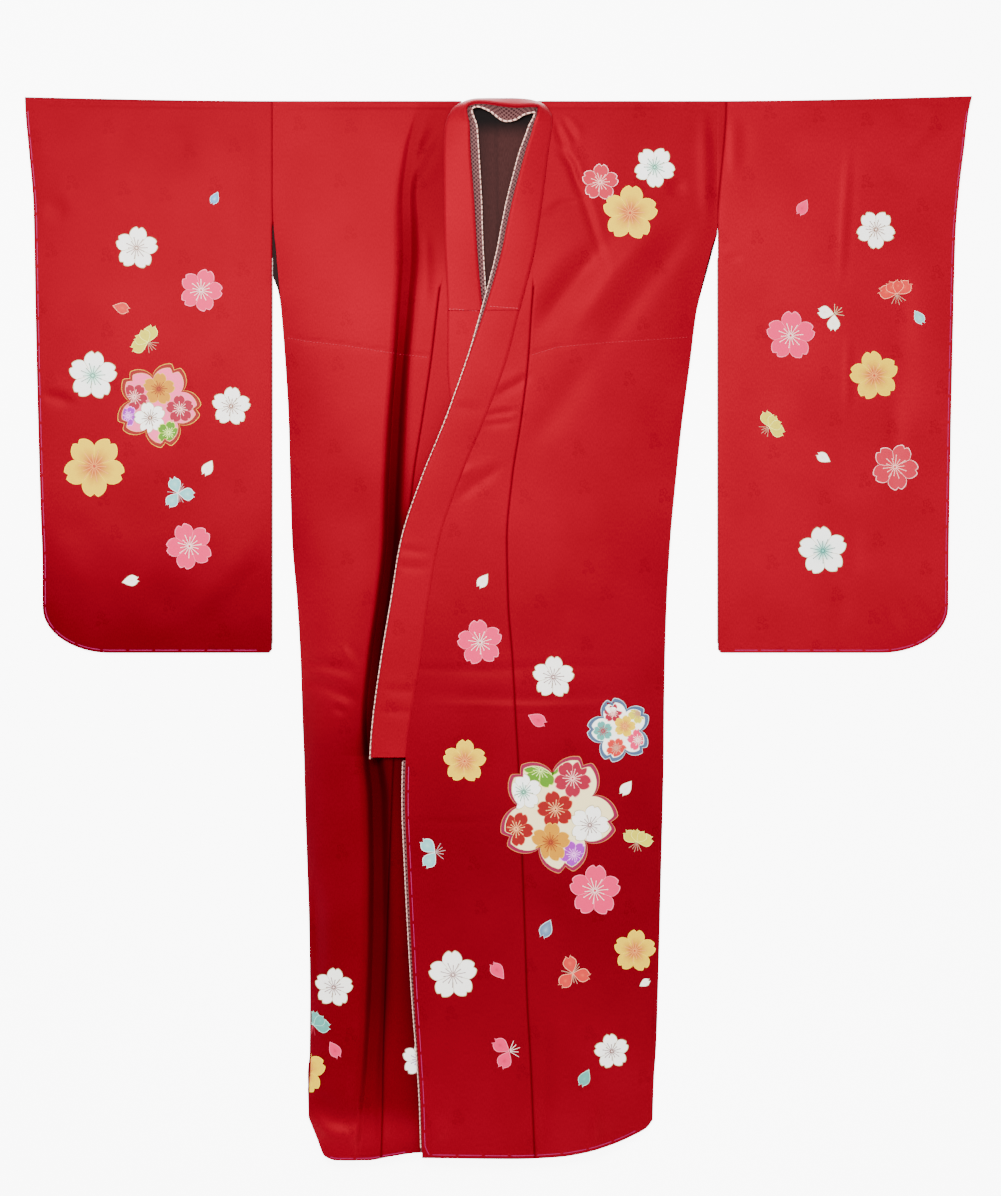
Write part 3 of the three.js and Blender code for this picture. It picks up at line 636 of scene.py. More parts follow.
# Materials. Colours are linear, from 0 to 1.
class Nodes:
    """Short ways to build a material's nodes."""

    def __init__(self, name, roughness, specular):
        self.material = bpy.data.materials.new(name)
        self.material.use_nodes = True
        self.tree = self.material.node_tree
        self.sockets = self.tree.nodes["Principled BSDF"].inputs
        self.put(self.sockets["Roughness"], roughness)
        self.put(self.sockets["Specular IOR Level"], specular)

    def put(self, socket, value):
        """Links or sets a socket. A colour's three numbers get an alpha of 1."""
        if isinstance(value, bpy.types.NodeSocket):
            self.tree.links.new(value, socket)
        else:
            socket.default_value = (*value, 1) if socket.type == "RGBA" else value

    def add(self, kind, *values, options=None, **inputs):
        """A node with its options, its first inputs in their order, and others by name."""
        made = self.tree.nodes.new("ShaderNode" + kind)
        for name, value in (options or {}).items():
            setattr(made, name, value)
        for socket, value in zip(made.inputs, values):
            self.put(socket, value)
        for name, value in inputs.items():
            self.put(made.inputs[name], value)
        return made.outputs

    def math(self, operation, *values):
        """A sum on single values."""
        return self.add("Math", *values, options={"operation": operation})[0]

    def vector(self, operation, *values, **inputs):
        """A sum on vectors or colours."""
        outputs = self.add("VectorMath", *values, options={"operation": operation}, **inputs)
        return outputs["Value" if operation == "LENGTH" else "Vector"]

    def blend(self, share, a, b):
        """Two colours mixed."""
        mixed = self.add("Mix", share, options={"data_type": "RGBA"})
        inputs = mixed[2].node.inputs
        self.put(inputs[6], a)
        self.put(inputs[7], b)
        return mixed[2]

    def ramp(self, value, low, high, to_low=0.0, to_high=1.0):
        """A smooth step from low to high."""
        smooth = {"interpolation_type": "SMOOTHSTEP"}
        return self.add("MapRange", value, low, high, to_low, to_high, options=smooth)[0]

    def noise(self, stretch, scale=1.0, detail=2.0):
        """Noise in the object's own space."""
        return self.add("TexNoise", Vector=self.place(stretch), Scale=scale, Detail=detail)[0]

    def colour_of(self, name):
        """The mesh's own colour at each point."""
        return self.add("Attribute", options={"attribute_name": name})["Color"]

    def place(self, stretch):
        """The place in the object's own space, stretched."""
        return self.vector("MULTIPLY", self.add("TexCoord")["Object"], stretch)

    def parts(self, vector):
        """A vector's three parts."""
        return self.add("SeparateXYZ", vector)

    def bump(self, height, strength):
        """Relief as fine as the weave."""
        bumped = self.add("Bump", Height=height, Strength=strength, Distance=WEAVE_DEPTH)
        self.put(self.sockets["Normal"], bumped[0])

    def coloured(self, colour):
        """The material, once its colour is in place."""
        self.put(self.sockets["Base Color"], colour)
        return self.material


# A woven sprig: each small blossom's place in its cell and its radius, in metres.
SPRIG = ((0.0, 0.0, 0.0052), (0.006, -0.0085, 0.0036), (-0.0035, -0.0105, 0.0028))
WEAVE_DEPTH = 0.0002
CHECK_PITCH = 0.0052


def woven_sprigs(nodes):
    """1 on the outlines of small sprigs of blossoms woven into the ground, at uneven places."""
    place = nodes.place((1, 1, 0))
    flat = {"voronoi_dimensions": "2D"}
    cells = nodes.add("TexVoronoi", options=flat, Vector=place, Scale=13, Randomness=0.8)
    offset = nodes.vector("SUBTRACT", place, cells["Position"])
    pick = nodes.add("SeparateColor", cells["Color"])[0]
    total = 0.0
    for x, y, radius in SPRIG:
        from_heart = nodes.vector("SUBTRACT", offset, (x, y, 0))
        apart = nodes.vector("LENGTH", from_heart)
        split = nodes.parts(from_heart)
        petals = nodes.math("COSINE", nodes.math("MULTIPLY", nodes.math("ARCTAN2", split[1], split[0]), 5.0))
        edge = nodes.math("MULTIPLY_ADD", petals, radius * 0.2, radius * 0.8)
        off_edge = nodes.math("ABSOLUTE", nodes.math("SUBTRACT", apart, edge))
        outline = nodes.ramp(off_edge, 0.0004, 0.0013, 1.0, 0.0)
        heart = nodes.ramp(apart, radius * 0.15, radius * 0.36, 1.0, 0.0)
        total = nodes.math("MAXIMUM", total, nodes.math("MAXIMUM", outline, heart))
    return nodes.math("MULTIPLY", total, nodes.ramp(pick, 0.15, 0.2))


def red_silk():
    """Satin with a fine weave, faint woven blossoms and low unevenness of tone, darkened by the painted
    shade of each point.
    """
    nodes = Nodes("red silk", roughness=0.45, specular=0.35)
    tone = nodes.ramp(nodes.noise((1, 1, 1), 9.0, 3.0), 0.3, 0.7)
    ground = nodes.blend(tone, (0.147, 0.0, 0.0055), (0.167, 0.0, 0.0065))
    thread = nodes.noise((900, 260, 1))
    figured = nodes.blend(nodes.math("MULTIPLY", woven_sprigs(nodes), 0.3), ground, (0.075, 0.0, 0.003))
    shade = nodes.colour_of("shade")
    # The painted shade dims the sheen too.
    nodes.put(nodes.sockets["Specular Tint"], nodes.vector("MULTIPLY", shade, (1.0, 0.02, 0.05)))
    nodes.bump(thread, 0.25)
    with_painted_shade = nodes.vector("MULTIPLY", figured, shade)
    return nodes.coloured(nodes.vector("SCALE", with_painted_shade, Scale=nodes.ramp(thread, 0.3, 0.7, 0.9, 1.08)))


def brown_lining():
    """Mauve-brown lining with a fine upright weave, darkened by the painted shade of each point."""
    nodes = Nodes("brown lining", roughness=0.62, specular=0.05)
    thread = nodes.noise((1100, 160, 1))
    ground = nodes.blend(nodes.ramp(thread, 0.3, 0.7), (0.024, 0.006, 0.0055), (0.034, 0.0095, 0.0088))
    nodes.bump(thread, 0.2)
    return nodes.coloured(nodes.vector("MULTIPLY", ground, nodes.colour_of("shade")))


def checked_lining():
    """Dusty pink lining with staggered rows of small dark red lozenges, set along the strip, darkened by the
    painted shade of each point.
    """
    nodes = Nodes("checked lining", roughness=0.6, specular=0.1)
    strip = nodes.parts(nodes.add("UVMap", options={"uv_map": "strip"})[0])
    turn = 2 * math.pi / CHECK_PITCH
    waves = [nodes.math("COSINE", nodes.math("MULTIPLY", strip[axis], turn)) for axis in (0, 1)]
    lozenge = nodes.ramp(nodes.math("MULTIPLY", *waves), -0.05, 0.3)
    ground = nodes.blend(lozenge, (0.13, 0.05, 0.048), (0.022, 0.001, 0.003))
    return nodes.coloured(nodes.vector("MULTIPLY", ground, nodes.colour_of("shade")))


def painted_silk():
    """Motifs and threads, coloured point by point."""
    nodes = Nodes("painted silk", roughness=0.55, specular=0.15)
    weave = nodes.ramp(nodes.noise((900, 900, 1)), 0.3, 0.7, 0.93, 1.03)
    return nodes.coloured(nodes.vector("SCALE", nodes.colour_of("paint"), Scale=weave))


SILK = red_silk()
LINING = brown_lining()
CHECKS = checked_lining()
PAINT = painted_silk()

# Each kind of cloth: how its pieces' names end, its slot, its wall, how far its outer face lies past
# its grid, and the materials of its outer and inner face.
PANEL = ("silk", "red_silk", SILK_THICK, CLOTH / 2, (SILK, LINING))
COLLAR_BAND = ("silk", "red_silk", COLLAR_CLOTH, COLLAR_CLOTH / 2, (SILK, SILK))
TOP_BAND = ("silk", "red_silk", OVER_COLLAR_CLOTH, OVER_COLLAR_CLOTH / 2, (SILK, SILK))
CHECKED_STRIP = ("strip", "checked_lining", LINING_CLOTH, LINING_CLOTH / 2, (CHECKS, CHECKS))
BROWN_CLOTH = ("cloth", "brown_lining", LINING_CLOTH, LINING_CLOTH / 2, (LINING, LINING))

# Each cloth piece, by the node it stands for: its kind of cloth and its flat size in metres.
CLOTHS = {
    "body_right": (PANEL, (0.295, 2.752)),
    "body_left": (PANEL, (0.286, 2.752)),
    "overlap_right": (PANEL, (0.166, 1.18)),
    "overlap_left": (PANEL, (0.166, 1.18)),
    "sleeve_right": (PANEL, (0.334, 1.45)),
    "sleeve_left": (PANEL, (0.334, 1.45)),
    "collar": (COLLAR_BAND, (0.056, 2.0)),
    "over_collar": (TOP_BAND, (0.056, 0.74)),
    "collar_lining": (CHECKED_STRIP, (0.02, 1.98)),
    "back_lining": (BROWN_CLOTH, (0.12, 0.312)),
    "edge_lining": (CHECKED_STRIP, (0.016, 0.52)),
}

# What differs between the wearer's right and left.
LEVEL = {"right": right_level, "left": left_level}
HEM = {"right": HEM_RIGHT, "left": HEM_LEFT}
SLEEVES = {"right": SLEEVE_RIGHT, "left": SLEEVE_LEFT}
CREASES = {"right": SLEEVE_RIGHT_CREASES, "left": SLEEVE_LEFT_CREASES}
LINING_LOWER = {"right": 1, "left": 2}


# Panels
def under_collar(down):
    """How far a front runs on under the collar, above the start of its overlap."""
    return UNDER_COLLAR["reach"] * (1 - ease(down, *UNDER_COLLAR["ends"]))


# Shares of the right front's columns up to the near and the far rim of the deep fold.
RIM_SHARES = (0.54, 0.84)


def right_columns(share, down):
    """Columns of the right front: up to the deep fold's rim, across the fold, and on to the seam."""
    side = front("right_side", down)
    middle, half = deep_fold("middle", down), deep_fold("half", down)
    inner = front("right_seam", down) - SEAM_GAP / 2 + under_collar(down)
    near_rim, far_rim = middle - half, middle + np.minimum(half * 1.1, 0.8 * (inner - middle))
    first, second = RIM_SHARES
    to_rim = mix(side, near_rim, share / first)
    in_fold = mix(near_rim, far_rim, (share - first) / (second - first))
    past_fold = mix(far_rim, inner, (share - second) / (1 - second))
    return np.where(share < first, to_rim, np.where(share < second, in_fold, past_fold))


def left_columns(share, down):
    """Columns of the left front, from its seam to its side."""
    return mix(front("left_seam", down) + SEAM_GAP / 2 - under_collar(down), front("left_side", down), share)


# A body's columns: how many, where they lie, and the share at its side.
BODY_COLUMNS = {"right": (62, right_columns, 0.0), "left": (60, left_columns, 1.0)}


def shade_of(name, down):
    """A column of the shade table at a level."""
    return between(SHADE, "down", name, down)


def fold_shade(across, down):
    """Painted shade of the right front: dark in the deep fold, less dark to its right, and in the other's
    painted shadow.
    """
    aside = (across - deep_fold("middle", down)) / deep_fold("half", down)
    floor, right = shade_of("floor", down), shade_of("right", down)
    left_of = mix(floor, 1, ease(-aside, 0.3, shade_of("spread", down)))
    right_of = mix(floor, right, ease(aside, 0.4, 1.7))
    crossing = np.where(down < COLLAR_END, front("left_free", down), front("left_collar", down))
    # Painted shadow beside the front that crosses over, fading away from its edge.
    covered = shade_of("cover", down) * np.exp(-np.maximum(crossing - across, 0) / COVER_REACH)
    return np.where(aside < 0, left_of, right_of) * (1 - covered) * shade_of("right_tone", down)


def front_shade(side, across, down):
    """Painted shade of a front, down to its hem."""
    return fold_shade(across, down) if side == "right" else shade_of("left_tone", down)


def seam_shade(from_edge):
    """Painted shade in a seam's groove."""
    return 1 - SEAM_SHADOW * near(from_edge, SEAM_GROOVE["half"])


def armhole_reach(side, down, edge):
    """How far a back panel shows past its front at the armhole. The right one reaches its sleeve."""
    opening = ease(down, *ARMHOLE["opens"]) * (1 - ease(down, *ARMHOLE["closes"]))
    if side == "left":
        return ARMHOLE["shows"] * opening
    joined = ease(down, 138, 146) * (1 - ease(down, *RIGHT_ARMHOLE_ENDS))
    return -np.maximum(ARMHOLE["shows"] * opening, (edge - SLEEVES["right"]["inner"]) * joined)


def body_length(side):
    """One body length, from centre back over the shoulder to the front's seam."""
    columns, columns_at, outer = BODY_COLUMNS[side]
    share, signed = np.meshgrid(at_edges(columns, 200), rows_over_shoulder(HEM_DOWN, ROW_STEP["front"]))
    down, fold_level = over_shoulder(signed)
    on_front, is_back = signed > HALF_TURN, signed < -HALF_TURN
    side_share, neck_share = np.full_like(share, outer), np.full_like(share, 1 - outer)
    edge_above, neck = columns_at(side_share, 0 * down), columns_at(neck_share, 0 * down)
    part = (columns_at(share, 0 * down) - edge_above) / (neck - edge_above)
    cut = np.sqrt(np.maximum(1 - (down / NECK_DROP) ** 2, 0))
    centre = np.where(is_back, SIGN[side] * (SEAM_GAP / 2 + np.abs(neck) * cut), neck)
    edge = columns_at(side_share, down)
    across_back = mix(edge + np.where(is_back, armhole_reach(side, down, edge), 0), centre, part)
    across = np.where(on_front, columns_at(share, down), across_back)
    lower = with_hem(side, across, down)
    from_side = np.abs(across - edge)
    inside = ease(from_side, 12, 40) * ease(down, 30, 80) * (1 - ease(down, 1300, 1350))
    soft = creased(BACK_CREASES, across, lower) + rippled(across, lower, 0.3)
    back = fold_level + np.maximum(soft, 0) * inside * is_back
    from_seam = np.abs(across - front(side + "_seam", down))
    top = LEVEL[side](across, lower) + seam_groove(from_seam) * ease(down, 230, 250)
    # Painted shade of the front and in its seam, and painted shade on the back's inner face where it shows
    # in the armhole.
    shade = front_shade(side, across, lower) * np.where(down > 240, seam_shade(from_seam), 1)
    at_armhole = ease(down, 110, 140) * (1 - ease(down, 260, 300)) * (1 - ease(from_side, 6, 14))
    points = laid(across, lower, np.where(on_front, top, back))
    painted_shading = np.where(on_front, shade, 1 - ARMHOLE_SHADOW * at_armhole)
    return cloth("body_" + side, points[::-1], painted_shading[::-1])


def overlap(side):
    """An overlap, from the seam with its front to the collar, and below the collar to its free edge."""
    downs = np.concatenate([[205, 215, 225], np.arange(234, HEM_DOWN - 2, ROW_STEP["front"]), [HEM_DOWN]])
    share, down = np.meshgrid(at_edges(36, 130), downs)
    seam = front(side + "_seam", down) - SIGN[side] * SEAM_GAP / 2
    edge = front(side + "_collar", down) + SIGN[side] * SEAM_GAP
    across = mix(edge, seam, share) if side == "left" else mix(seam, edge, share)
    lower = with_hem(side, across, down)
    from_seam = np.abs(across - seam)
    points = laid(across, lower, LEVEL[side](across, lower) + seam_groove(from_seam))
    # Painted shade of the front and in its seam.
    shade = front_shade(side, across, lower) * seam_shade(from_seam)
    return cloth("overlap_" + side, points[::-1], shade[::-1])


# Shares of a sleeve's width, with close ones at both edges.
SLEEVE_SHARES = np.concatenate([
    [0, 0.0015, 0.004, 0.008, 0.012, 0.016, 0.02, 0.024, 0.028, 0.032, 0.036, 0.04, 0.045],
    np.linspace(0.052, 0.96, 70),
    [0.97, 0.98, 0.988, 0.994, 0.998, 1],
])


def sleeve(side):
    """A sleeve, folded at its top, with a round outer corner at its bottom."""
    cut = SLEEVES[side]
    share, signed = np.meshgrid(SLEEVE_SHARES, rows_over_shoulder(SLEEVE_BOTTOM, ROW_STEP["sleeve"]))
    down, fold_level = over_shoulder(signed)

    def width(at):
        return between(cut["outer"], "down", "across", at) - cut["inner"]

    from_edge = np.abs(width(down)) * (1 - share)
    rounded = np.clip(1 - from_edge / SLEEVE_CORNER["across"], 0, 0.9999)
    corner_rise = SLEEVE_CORNER["up"] * (1 - np.sqrt(1 - rounded**2))
    inner_rise = SLEEVE_INNER_RISE * (1 - ease(share, 0, 0.015))
    lower = down - (corner_rise + inner_rise) * (down / SLEEVE_BOTTOM) ** 3
    raised = cut["top_rise"] * share**SLEEVE_TOP_CURVE * (1 - down / SLEEVE_BOTTOM)
    sewn = (1 - ease(down, *SEWN_TO_BODY)) * (1 - ease(share, 0, 0.01))
    to_body = (front(side + "_side", down) - cut["inner"]) * sewn
    across = cut["inner"] + width(np.maximum(lower, 0)) * share + to_body
    arch_across = np.sin(math.pi * share)
    arch_along = np.sin(math.pi * np.clip(down / SLEEVE_BOTTOM, 0, 1))
    puff = SLEEVE_PUFF * np.sqrt(np.maximum(arch_across * arch_along, 0))
    inside = ease(arch_across, 0, 0.2) * ease(arch_along, 0, 0.2)
    soft = (creased(CREASES[side], across, lower) + rippled(across, lower, 0.4)) * inside + top_fold(down)
    level = fold_level + np.where(signed > HALF_TURN, np.maximum(puff + soft, 0), 0)
    points = laid(across, lower, level)
    points[..., 1] += raised
    # Painted shade along the seam's line, which slants on the wearer's left; the front's painted shade on
    # the body's side of it, the sleeve's painted light and shade past it.
    slant = cut["seam_slant"] * (1 - ease(down, 0, SEWN_TO_BODY[1]))
    past_seam = np.abs(width(down)) * share - slant
    tone = mix(shade_of(side + "_tone", down), np.interp(down, *cut["painted_shading"]), ease(past_seam, -1, 0))
    order = SIGN[side]
    return cloth("sleeve_" + side, points[::-1, ::order], (tone * seam_shade(past_seam))[::-1, ::order])


# Collar
CHEST_LEVELS = [31, 45, 65, 95, 130, 165, 195, 234]
CROSSING_LEVELS = np.linspace(OVER_COLLAR_END, COLLAR_END, 21)


def collar_side(side, down):
    """Stations down one side of the collar: its sewn edge, its free edge and its lining's edge."""
    level = LEVEL[side]
    sewn, free = front(side + "_collar", down), front(side + "_free", down)
    edge = free - SIGN[side] * between(COLLAR_LINING, "down", side, down)
    stand = COLLAR_STAND["height"] * (1 - ease(down, 0, COLLAR_STAND["end"]))
    free_z = np.maximum(level(free, down), level(sewn, down)) + COLLAR_RISE + stand
    return (
        laid(sewn, down, level(sewn, down) + COLLAR_RISE),
        laid(free, down, free_z),
        laid(edge, down + LINING_LOWER[side], free_z - LINING_DROP),
    )


def collar_lines():
    """The three lines of the collar, up the left front, round the neck and down the right front."""
    down = np.concatenate([CHEST_LEVELS, CROSSING_LEVELS])
    left, right = collar_side("left", down), collar_side("right", down)
    lines = []
    for i, name in enumerate(("sewn", "free", "edge")):
        neck = laid(NECK[name + "_x"], NECK[name + "_down"], NECK[name + "_z"])
        lines.append(np.concatenate([left[i][::-1], neck, right[i]]))
    return lines


def smooth_line(points, places):
    """A smooth line through points, at places counted in points. Its bends keep to the points' spacing."""
    ends = np.concatenate([[2 * points[0] - points[1]], points, [2 * points[-1] - points[-2]]])
    i = np.clip(places.astype(int), 0, len(points) - 2)
    t = (places - i)[:, None]
    p0, p1, p2, p3 = ends[i], ends[i + 1], ends[i + 2], ends[i + 3]

    def gap(a, b):
        return np.sqrt(np.maximum(np.linalg.norm(b - a, axis=1, keepdims=True), 1e-6))

    d0, d1, d2 = gap(p0, p1), gap(p1, p2), gap(p2, p3)
    start = ((p1 - p0) / d0 - (p2 - p0) / (d0 + d1) + (p2 - p1) / d1) * d1
    end = ((p2 - p1) / d1 - (p3 - p1) / (d1 + d2) + (p3 - p2) / d2) * d1
    return cubic(p1, p2 - p1, start, end, t)


SEWN_LINE, FREE_LINE, EDGE_LINE = collar_lines()
STATIONS = len(SEWN_LINE)
LEFT_END = len(CROSSING_LEVELS) - 1


def collar_places(start, end, per_station=8):
    """Places along the collar, counted in its stations."""
    return np.linspace(start, end, int((end - start) * per_station) + 1)


def along_line(points):
    """Length along a line of points."""
    return np.concatenate([[0], np.cumsum(np.linalg.norm(np.diff(points, axis=0), axis=1))])


def collar_grid(places, shares, lift=0.0):
    """The collar as a grid: free edge to sewn edge, slightly full between them and pressed at its edges."""
    free, sewn = smooth_line(FREE_LINE, places), smooth_line(SEWN_LINE, places)
    share = shares[None, :, None]
    points = mix(free[:, None], sewn[:, None], share)
    width = np.linalg.norm(sewn - free, axis=1)[:, None]
    from_edge = np.minimum(shares[None, :], 1 - shares[None, :]) * width
    full = 0.5 * np.sin(math.pi * shares)[None, :] + 1.6 * seam_groove(from_edge)
    down = SHOULDER_Y - points[..., 1]
    on_left = (places < STATIONS / 2)[:, None]
    soft = creased(COLLAR_CREASES, points[..., 0], down) * on_left
    normal = normals_of(points)
    return points + normal * (full + soft + lift)[..., None]


def collar_shares(count):
    """Shares of the collar's width, with close ones at both edges."""
    return np.concatenate([[0, 0.02, 0.045, 0.08], np.linspace(0.13, 0.87, count), [0.92, 0.955, 0.98, 1]])


def collar():
    """The collar's band."""
    return cloth("collar", collar_grid(collar_places(0, STATIONS - 1), collar_shares(8)))


def over_collar():
    """The second band, over the upper part of the collar."""
    places = collar_places(LEFT_END, STATIONS - 1 - LEFT_END)
    return cloth("over_collar", collar_grid(places, collar_shares(8), 1.5 + OVER_COLLAR_CLOTH / 2))


def collar_lining():
    """The strip of lining from the collar's free edge to its own, tucked under the collar."""
    places = collar_places(0, STATIONS - 1)
    free, sewn, edge = (smooth_line(line, places) for line in (FREE_LINE, SEWN_LINE, EDGE_LINE))
    normal = unit(np.cross(sewn - free, np.gradient(free, axis=0)))
    tucked = mix(free, sewn, 0.08) - normal * ((COLLAR_CLOTH + LINING_CLOTH) / 2 + SEAM_GAP)
    points = mix(edge[:, None], tucked[:, None], np.linspace(0, 1, 7)[None, :, None])
    # Painted shade, darker towards where the strip tucks under the collar.
    shade = np.broadcast_to(np.linspace(1, 0.55, 7), points.shape[:2])
    cloth("collar_lining", points, shade, along_line(edge))


def back_lining():
    """The back's lining in the neck opening, with painted shade where the collar stands over it and along a
    soft fold, and darker towards the wearer's right.
    """
    x = np.linspace(-BACK_LINING_HALF, BACK_LINING_HALF, 40)
    across, down = np.meshgrid(x, np.linspace(4, BACK_LINING_END, 90))
    level = CLOTH + SEAM_GAP + LINING_CLOTH / 2 + rippled(across, down, 0.15) + 0.15
    # Painted shade under the collar, darker towards the wearer's right, and painted shade along a soft fold.
    lit = mix(0.08, 1.0, ease(down, 24, 52)) * mix(0.7, 1.0, ease(across, -26, 2))
    lit = lit * (1 - 0.25 * near(across + 4 - down * 0.02, 2.5))
    cloth("back_lining", laid(across, down, level)[::-1], lit[::-1])


def lining_edge(down):
    """The outer edge of the lining that shows past the left front edge."""
    narrow = ease(down, EDGE_LINING["narrows_from"], HEM_DOWN)
    return front("left_collar", down) - mix(EDGE_LINING["shows"], EDGE_LINING["shows_at_hem"], narrow)


def edge_lining():
    """The strip of lining that shows past the left front edge."""
    downs = np.concatenate([np.arange(COLLAR_END + 4, EDGE_LINING["end"], 4), [EDGE_LINING["end"]]])
    share, down = np.meshgrid(np.linspace(0, 1, 7), downs)
    across = lining_edge(down) + EDGE_LINING["width"] * share
    lower = with_hem("left", across, down)
    below = (CLOTH + LINING_CLOTH) / 2 + SEAM_GAP
    cloth("edge_lining", laid(across, lower, left_level(across, lower) - below)[::-1], along=downs[::-1])


# Motifs and threads
GROOVE_REACH = 1.8


class Drawing:
    """Collects coloured faces that lie on panels, for one object."""

    def __init__(self, name, panels):
        self.name = name
        self.points, self.faces, self.colours = [], [], []
        joined, corners = [], []
        for panel in panels:
            start = len(joined)
            joined += [v.co.copy() for v in panel.data.vertices]
            corners += [[start + i for i in face.vertices] for face in panel.data.polygons]
        self.ground = BVHTree.FromPolygons(joined, corners)
        self.last = 20.0

    def level(self, across, down):
        """Height of the panels' upper face, with the narrow groove of a seam bridged."""
        heights = []
        for x in (across - GROOVE_REACH, across, across + GROOVE_REACH):
            above = Vector((x * MM, (SHOULDER_Y - down) * MM, 0.1))
            hit = self.ground.ray_cast(above, Vector((0, 0, -1)))[0]
            if hit is not None:
                heights.append(hit.z / MM)
        self.last = max(heights, default=self.last)
        return self.last

    def add(self, plan, lift, faces, colours):
        """Adds faces by their places in plan, at a height above the panel."""
        start = len(self.points)
        self.points += [(x, SHOULDER_Y - d, self.level(x, d) + lift) for x, d in plan]
        self.faces += [[start + i for i in face] for face in faces]
        self.colours += [tuple(c) for c in colours]

    def patch(self, outline, centre, lift, colours, rim=0.0, rim_colour=None, clip=None):
        """A filled shape with rings of colour from its centre to its outline, and a rim."""
        outline, centre = np.array(outline, float), np.array(centre, float)
        count = len(outline)
        shares = np.linspace(0, 1 - rim, len(colours))
        rings = list(zip(shares[1:], colours[1:]))
        joined = [True] * len(rings)
        if rim:
            rings += [(1 - rim, rim_colour), (1.0, rim_colour)]
            joined += [False, True]
        plan, paints, faces = [centre], [colours[0]], []
        for ring, (share, colour) in enumerate(rings):
            plan += list(centre + (outline - centre) * share)
            paints += [colour] * count
            outer = 1 + ring * count
            inner = outer - count
            for i in range(count):
                j = (i + 1) % count
                if ring == 0:
                    faces.append((0, outer + j, outer + i))
                elif joined[ring]:
                    faces.append((inner + i, inner + j, outer + j, outer + i))
        if clip is not None:
            plan = [clip(p) for p in plan]
        self.add(plan, lift, faces, paints)

    def line(self, path, wide, lift, colour, clip=None):
        """A flat line of even width."""
        path = np.array(path, float)
        if clip is not None:
            path = np.array([clip(p) for p in path])
        heading = unit(np.gradient(path, axis=0))
        aside = np.column_stack([-heading[:, 1], heading[:, 0]]) * wide / 2
        plan = [p for pair in zip(path - aside, path + aside) for p in pair]
        faces = [(2 * i, 2 * i + 1, 2 * i + 3, 2 * i + 2) for i in range(len(path) - 1)]
        self.add(plan, lift, faces, [colour] * len(plan))

    def finish(self):
        """The drawing as one object."""
        made = mesh_object(self.name, self.points, self.faces, [0] * len(self.faces), [PAINT])
        paint(made, "paint", self.colours)
        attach(made, "root")
        return made


# Colours of a style: its petals, their heart, how far the heart reaches, the rim and the stamens.
STYLES = {
    "white_rose": ((0.93, 0.91, 0.85), (0.9, 0.74, 0.68), 0.3, (0.42, 0.33, 0.14), (0.1, 0.005, 0.006)),
    "white_gold": ((0.93, 0.91, 0.86), (0.86, 0.72, 0.62), 0.4, (0.44, 0.35, 0.15), (0.16, 0.05, 0.02)),
    "white_green": ((0.93, 0.92, 0.88), (0.3, 0.76, 0.55), 0.45, (0.44, 0.38, 0.16), (0.02, 0.11, 0.06)),
    "white_teal": ((0.92, 0.92, 0.87), (0.08, 0.5, 0.38), 0.55, (0.44, 0.42, 0.2), (0.01, 0.08, 0.07)),
    "pink": ((0.64, 0.012, 0.09), (0.48, 0.004, 0.05), 0.45, (0.82, 0.16, 0.24), (0.9, 0.62, 0.56)),
    "coral": ((0.4, 0.008, 0.028), (0.48, 0.012, 0.03), 0.4, (0.85, 0.4, 0.38), (0.85, 0.42, 0.36)),
    "yellow": ((0.68, 0.43, 0.0), (0.38, 0.03, 0.014), 0.78, (0.85, 0.56, 0.02), (0.72, 0.27, 0.06)),
    "orange": ((0.47, 0.19, 0.0), (0.34, 0.05, 0.001), 0.45, (0.66, 0.34, 0.02), (0.2, 0.01, 0.006)),
    "green": ((0.07, 0.2, 0.003), (0.1, 0.26, 0.01), 0.4, (0.55, 0.72, 0.06), (0.6, 0.78, 0.2)),
    "purple": ((0.27, 0.01, 0.34), (0.33, 0.03, 0.38), 0.4, (0.8, 0.2, 0.8), (0.8, 0.3, 0.8)),
    "teal": ((0.07, 0.28, 0.24), (0.1, 0.35, 0.3), 0.4, (0.4, 0.75, 0.62), (0.28, 0.01, 0.03)),
    "lime": ((0.54, 0.46, 0.02), (0.48, 0.4, 0.02), 0.4, (0.85, 0.85, 0.2), (0.42, 0.2, 0.12)),
    "sky": ((0.15, 0.42, 0.42), (0.26, 0.54, 0.5), 0.5, (0.78, 0.86, 0.82), (0.42, 0.26, 0.26)),
    "blue": ((0.07, 0.24, 0.45), (0.25, 0.45, 0.6), 0.5, (0.7, 0.8, 0.8), (0.7, 0.7, 0.7)),
    "slate": ((0.09, 0.15, 0.24), (0.22, 0.32, 0.42), 0.5, (0.6, 0.7, 0.72), (0.7, 0.7, 0.7)),
    "white": ((0.92, 0.88, 0.78), (0.88, 0.72, 0.55), 0.4, (0.5, 0.4, 0.2), (0.5, 0.36, 0.2)),
    "scarlet": ((0.21, 0.0, 0.001), (0.18, 0.0, 0.001), 0.4, (0.5, 0.08, 0.03), (0.8, 0.36, 0.14)),
    "rose": ((0.26, 0.001, 0.022), (0.36, 0.004, 0.03), 0.4, (0.75, 0.2, 0.22), (0.85, 0.45, 0.4)),
    "salmon": ((0.48, 0.02, 0.016), (0.58, 0.06, 0.03), 0.4, (0.9, 0.34, 0.2), (0.45, 0.24, 0.16)),
    "lilac": ((0.92, 0.9, 0.86), (0.72, 0.5, 0.66), 0.3, (0.42, 0.33, 0.24), (0.16, 0.01, 0.2)),
}
PETALS = 5
RIM = 1.15
NOTCH = {"depth": 0.12, "width": 0.18}
VALLEY = 0.66


def turned(x, y, angle):
    """A point turned by an angle in degrees, clockwise as seen from above."""
    c, s = math.cos(math.radians(angle)), math.sin(math.radians(angle))
    return x * c - y * s, x * s + y * c


